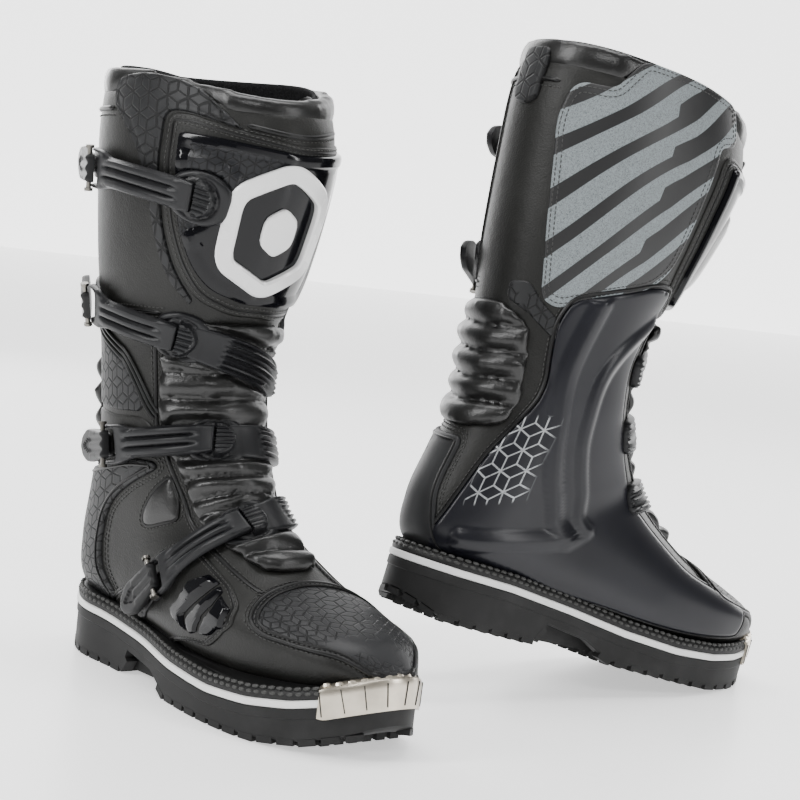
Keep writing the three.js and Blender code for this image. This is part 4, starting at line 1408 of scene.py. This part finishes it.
def toe_plate():
    """A pressed band round the toe of the sole, with a flange turned in over the welt."""
    edge = sole_outline(0.0, 400)
    arc = edge[edge[:, 0] > TOE_PLATE_FROM]
    out = unit(arc - np.array([250.0, 0.0]))
    run = run_along(arc)
    end = np.clip(np.minimum(run, run[-1] - run) / 3, 0, 1)
    stand, under = stand_z(arc[:, 0]), under_z(arc[:, 0])
    rings = [np.c_[arc + out * grow, stand + rise - 0.8 * (1 - end) * (rise > 2)]
             for grow, rise in ((-6.0, 5.0), (-2.0, 5.2), (1.0, 4.0), (1.9, 2.2), (2.0, -1.0))]
    rings += [np.c_[arc + out * 2.0, np.maximum(stand - depth, under + 2.0) + 1.0 * (1 - end)]
              for depth in (5.0, 9.5, 14.0)]
    outer = np.array(rings)
    inner = outer.copy()
    inner[:, :, :2] -= out[None] * TOE_PLATE_WALL
    inner[:3, :, 2] -= TOE_PLATE_WALL
    m, n = outer.shape[:2]
    faces = grid_faces(m, n)
    faces += [tuple(i + m * n for i in reversed(f)) for f in faces]
    border = [(0, j) for j in range(n)] + [(i, n - 1) for i in range(1, m)] + \
             [(m - 1, j) for j in range(n - 2, -1, -1)] + [(i, 0) for i in range(m - 2, 0, -1)]
    index = [i * n + j for i, j in border]
    faces += [(a, b, b + m * n, a + m * n) for a, b in zip(index, index[1:] + index[:1])]
    return recalculated(Shape(np.vstack([outer.reshape(-1, 3), inner.reshape(-1, 3)]), faces))


both("toe_plate", toe_plate(), NICKEL, "foot", replaces=("toe_plate",), sharp=30)
PLATE_RIBS = sole_path(2.05, -5.5, low=290, steps=400)
both("toe_plate_ribs", repeated(PLATE_RIBS, "block", 12.0, (0.7, 14.0, 0.6), BUCKLE), BUCKLE,
     "foot", sharp=30)
SCREW_LINE = sole_path(-2.6, 5.4, low=289, steps=400)
both("toe_screws", repeated(SCREW_LINE, "grain", 7.0, (5.4, 3.8, 5.6), NICKEL), NICKEL, "foot", sharp=40)


# ---------------------------------------------------------------- straps, anchors, bases and levers
class Route:
    """A straight line in (row, angle) over the skin, measured in mm along it."""

    def __init__(self, start, end):
        t = np.linspace(-0.9, 1.05, 240)
        self.rows = start[0] + (end[0] - start[0]) * t
        self.angles = start[1] + (end[1] - start[1]) * t
        run = run_along(bare(self.rows, self.angles))
        self.at = run - np.interp(0.0, t, run)

    def place(self, u):
        """The row and angle u mm along the route."""
        return np.interp(u, self.at, self.rows), np.interp(u, self.at, self.angles)

    def chart(self, flat, lift):
        """Points at u mm along and v mm across the route, lift above the skin."""
        row, angle = self.place(flat[:, 0])
        here = bare(row, angle)
        ahead = bare(*self.place(flat[:, 0] + 0.5))
        across = unit(np.cross(unit(ahead - here), outward(row, angle)))
        target = here + across * flat[:, 1:2]
        for _ in range(3):
            now = bare(row, angle)
            by_row = (bare(row + 0.02, angle) - now) / 0.02
            by_angle = (bare(row, angle + 0.5) - now) / 0.5
            miss = target - now
            a, b, c = (by_row ** 2).sum(1), (by_row * by_angle).sum(1), (by_angle ** 2).sum(1)
            e, f = (miss * by_row).sum(1), (miss * by_angle).sum(1)
            det = np.maximum(a * c - b * b, 1e-6)
            row = row + np.clip((e * c - f * b) / det, -0.6, 0.6)
            angle = angle + np.clip((f * a - e * b) / det, -12, 12)
        return skin(row, angle, lift)

    def frame(self, u):
        """The point u mm along, with the directions along, across and out of the skin there."""
        p = self.chart(np.array([[u - 0.5, 0], [u + 0.5, 0], [u, 0]]), np.zeros(3))
        n = outward(*self.place(u))[0]
        along = p[1] - p[0]
        along = unit(along - n * along.dot(n))
        return p[2], along, np.cross(along, n), n


def flat_outline(corners, step=1.2):
    return rounded(np.array([c[:2] for c in corners], float), [c[2] for c in corners], step)


def mirrored(half):
    """Corners for v above 0 with their images below it, in order round the shape."""
    return half + [(u, -v, r) for u, v, r in half[::-1]]


def lever_shape():
    """The lever in its own frame: x along it from the pin to the tip, z outward."""
    half, end = 11.0, LEVER_LONG / 2
    edge = flat_outline(mirrored([(-end, half * 0.8, 2.5), (end - 12, half, 3), (end - 3, half * 0.6, 3),
                                  (end, 0.8, 0.8)]), 1.0)

    def chart(flat, lift):
        lift = lift if np.ndim(lift) else np.full(len(flat), lift)
        return np.c_[flat[:, 0], flat[:, 1], lift]

    def height(d, flat, xyz):
        x, y = flat[:, 0], flat[:, 1]
        # Ridges run from the pin, and a triangle is sunk near the tip.
        ridges = 0.7 * np.cos(np.clip(np.abs(y) / 3.4, 0, 2.5) * math.pi) * (x < 2)
        along = (x - 4.0) / 12.0
        sunk = (along > 0) & (along < 1) & (np.abs(y) < 5.2 * (1 - along)) & (d > 2.4)
        return 2.5 * rounding(d, 1.6) + ridges * np.clip(d / 1.6, 0, 1) - 1.2 * sunk

    return relief(edge, height, chart=chart, spacing=1.3, under=-2.4, rings=(0.4, 0.9, 1.6))


LEVER = lever_shape()


def moved(shape, origin, along, across, normal):
    return Shape(origin + shape.points @ np.array([along, across, normal]), shape.faces, shape.uv)


def strap(name, route, length, front, back):
    """A tongue that runs under the lever's pin, between two wings that carry the pin's ends.

    Its underside lies front mm off the skin at its anchor and back mm off at its lever.
    """
    edge = flat_outline(mirrored([(0.8, 8.6, 0.8), (8, 9.6, 4), (length - 16, 9.6, 8), (length - 6, 12.6,
                                                                                        4), (length + 10,
                                                                                             12.8, 2.5),
                                  (length + 10.5, 10.0, 1.2), (length + 0.2, 9.8, 1.2), (length - 1.2,
                                                                                         8.4, 1.5)]))

    def chart(flat, lift):
        return route.chart(flat, front + (back - front) * np.clip(flat[:, 0] / length, 0, 1) + lift)

    def top(d, flat, xyz):
        u, v = flat[:, 0], np.abs(flat[:, 1])
        body = STRAP_THICK * (0.25 + 0.75 * rounding(d, 1.5))
        run = np.clip((u - 8) / 8, 0, 1) * np.clip((length - 8 - u) / 8, 0, 1)
        grooves = np.exp(-((v - 2.9) / 0.8) ** 2) + 0.5 * (v > 8.0)
        rib = 0.5 * np.cos(np.clip(np.abs(v - 5.9 * (v > 2.9)) / 2.9, 0, 1) * math.pi / 2)
        return body + run * (rib - 2.4 * grooves)

    both(name, relief(edge, top, chart=chart, spacing=1.15, under=0.0, rings=(0.5, 1.1, 1.8)), STRAP,
         name, replaces=(name,))


def anchor(name, route, below, body):
    """A rounded pad, below mm off the skin, with a ribbed disc over the strap's slot."""
    edge = flat_outline(mirrored([(-20, 10, 8), (-9, 16.5, 10), (5, 16, 10), (17, 10, 8)]))

    def top(d, flat, xyz):
        u, v = flat[:, 0], flat[:, 1]
        from_edge = 11.2 - np.hypot(u + 0.5, v)
        disc = 4.2 * rounding(from_edge, 1.8) * (u < 0.4)
        ribs = 0.8 * (np.cos(v * 2 * math.pi / 2.5) < -0.1) * (from_edge > 1.6) * (u < 0.4) * (u > -9)
        moat = 0.9 * np.exp(-((from_edge + 1.4) / 0.9) ** 2)
        return below + ANCHOR_HIGH * (0.1 + 0.78 * rounding(d, 3.4)) + disc - ribs - moat

    both(name, relief(edge, top, chart=route.chart, spacing=1.05, under=below - 0.9), STRAP, body,
         replaces=(name,))


def ribbed_band(name, route, reach):
    """A band that runs on from the anchor, over the front of the boot."""
    edge = flat_outline([(-6, 11, 5), (-30, 12.0, 8), (-reach, 11, 7), (-reach, -11, 7), (-30, -12.0, 8),
                         (-6, -11, 5)])

    def top(d, flat, xyz):
        u, v = flat[:, 0], flat[:, 1]
        run = np.clip((-27 - u) / 4, 0, 1)
        rise = np.clip((-14 - u) / 12, 0, 1)
        ribs = 1.3 * (np.cos(v * 2 * math.pi / 3.6) - 0.4) * np.clip(d / 2.0, 0, 1) * run
        return 1.6 + 1.6 * rise + (2.0 + 1.2 * run) * rounding(d, 2.0) + ribs

    both(name, relief(edge, top, chart=route.chart, spacing=1.2, under=0.6), STRAP, "bend", sharp=50)


def toothed_base(name, route, length, body):
    edge = flat_outline(mirrored([(length + 11, 7.5, 3), (length + 30, 9.0, 4), (length + 44, 6.5, 4)]))

    def top(d, flat, xyz):
        teeth = 0.8 * ((flat[:, 0] % 4.0) < 2.0) * (np.abs(flat[:, 1]) < 5.0) * (d > 1.5)
        return GAP + BASE_HIGH * (0.2 + 0.5 * rounding(d, 1.4)) + teeth

    both(name, relief(edge, top, chart=route.chart, spacing=1.5, under=-0.6), BUCKLE, body,
         replaces=(name,))


def pin_shape(pin, across, normal):
    """A pin along the across direction, with a round head at each end."""

    def rod(places, radius):
        line = np.array([pin + across * place for place in places])
        turns = [k * math.pi / 6 for k in range(12)]
        profile = [(radius * math.cos(turn), radius * math.sin(turn)) for turn in turns]
        return carried(line, np.tile(normal, (len(line), 1)), profile)

    made = rod((-13.4, -6, 0, 6, 13.4), 1.6)
    for end in (-1, 1):
        made = made + rod([end * (12.8 + k * 0.6) for k in range(4)], 2.7)
    return made


for name, start, end, length, below, body, reach in BUCKLES:
    route = Route(start, end)
    back = GAP + BASE_HIGH + STRAP_LIFT
    strap(name + "_strap", route, length, below + ANCHOR_HIGH + STRAP_LIFT, back)
    anchor(name + "_anchor", route, below, body)
    if reach:
        ribbed_band(name + "_ribbed_band", route, reach)
    toothed_base(name + "_base", route, length, body)
    # The lever lies straight, at its own middle, and turns on a pin held by the strap's wings.
    point, along, across, normal = route.frame(length + LEVER_BEHIND + LEVER_LONG / 2)
    centre = point + normal * (back + LEVER_LIFT + LEVER_THICK / 2)
    both(name + "_lever", moved(LEVER, centre, along, across, normal), BUCKLE, name + "_lever",
         replaces=(name + "_lever",), sharp=32)
    pin = centre + along * (PIN_INSET - LEVER_LONG / 2)
    both(name + "_pin", pin_shape(pin, across, normal), STEEL, name + "_strap")

# ---------------------------------------------------------------- stitches
both("stitching", repeated(STITCHES, "grain", 3.3, (0.85, 0.85, 2.5), THREAD), THREAD, "bend",
     sharp=0)

# ---------------------------------------------------------------- floor, light and camera
def studio_plane(name, paint, glow, size, place=(0, 0, 0), turn=(0, 0, 0)):
    """A plane of the studio with a soft white glow."""
    paint.set("Emission Color", (1, 1, 1, 1))
    paint.set("Emission Strength", glow)
    bpy.ops.mesh.primitive_plane_add(size=1, location=place, rotation=turn)
    plane = bpy.context.object
    plane.name = name
    plane.scale = (*size, 1)
    plane.data.materials.append(paint.data)


studio_plane("floor", Paint("studio_floor", (0.92, 0.92, 0.92), 0.35), 0.75, (12, 12))
for node in ("right_footbed", "left_footbed"):
    bed = frame["nodes"][node]
    bed.data.materials.clear()
    bed.data.materials.append(LINING.data)


def area_light(name, place, target, size, power):
    data = bpy.data.lights.new(name, "AREA")
    data.shape = "RECTANGLE"
    data.size, data.size_y = size
    data.energy = power
    obj = bpy.data.objects.new(name, data)
    bpy.context.scene.collection.objects.link(obj)
    obj.location = place
    obj.rotation_euler = (Vector(target) - Vector(place)).to_track_quat("-Z", "Y").to_euler()


# name, place, what it points at, width and height in metres, watts
for light in (("key", (-1.5, -0.9, 1.3), (-0.05, 0, 0.2), (0.32, 1.6), 32),
              ("fill", (1.7, -0.9, 0.9), (0.08, 0, 0.2), (0.14, 1.5), 14),
              ("front", (0.1, -2.2, 1.9), (0, 0, 0.15), (0.9, 0.3), 16),
              ("top", (0.0, 0.1, 2.0), (0, 0, 0.1), (1.6, 0.8), 34),
              ("rim", (-0.9, 1.5, 0.9), (0, 0, 0.25), (0.5, 1.4), 12),
              ("rim_right", (1.3, 1.3, 0.9), (0, 0, 0.25), (0.5, 1.4), 12)):
    area_light(*light)
world = bpy.data.worlds.new("studio")
world.use_nodes = True
bpy.context.scene.world = world
background = world.node_tree.nodes["Background"].inputs
background["Color"].default_value = (1, 1, 1, 1)
background["Strength"].default_value = 0.22

studio_plane("backdrop", Paint("backdrop", (0.9, 0.9, 0.9), 0.9), 2.4, (14, 5), (0, 5.5, 2.4),
             (math.pi / 2, 0, 0))

# The camera stands 1.25 m off, 6 degrees up, and is rolled a little.
ROLL, ELEVATION = math.radians(6.4), math.radians(5.8)
AIM = Vector((-0.1209, -0.0438, 0.190))
AWAY = Vector((-0.0972, 1.2498, 0.0068))
turned = Matrix.Rotation(ROLL, 3, "Y") @ Matrix.Rotation(ELEVATION, 3, "X")
right, ahead, up = (turned.transposed() @ Vector(v) for v in ((1, 0, 0), (0, 1, 0), (0, 0, 1)))
camera = bpy.data.objects.new("camera", bpy.data.cameras.new("camera"))
bpy.context.scene.collection.objects.link(camera)
camera.data.lens = 90.0
camera.data.sensor_width = 36.0
camera.matrix_world = Matrix.Translation(AIM - turned.transposed() @ AWAY) @ Matrix(
    (right, up, -ahead)).transposed().to_4x4()
bpy.context.scene.camera = camera
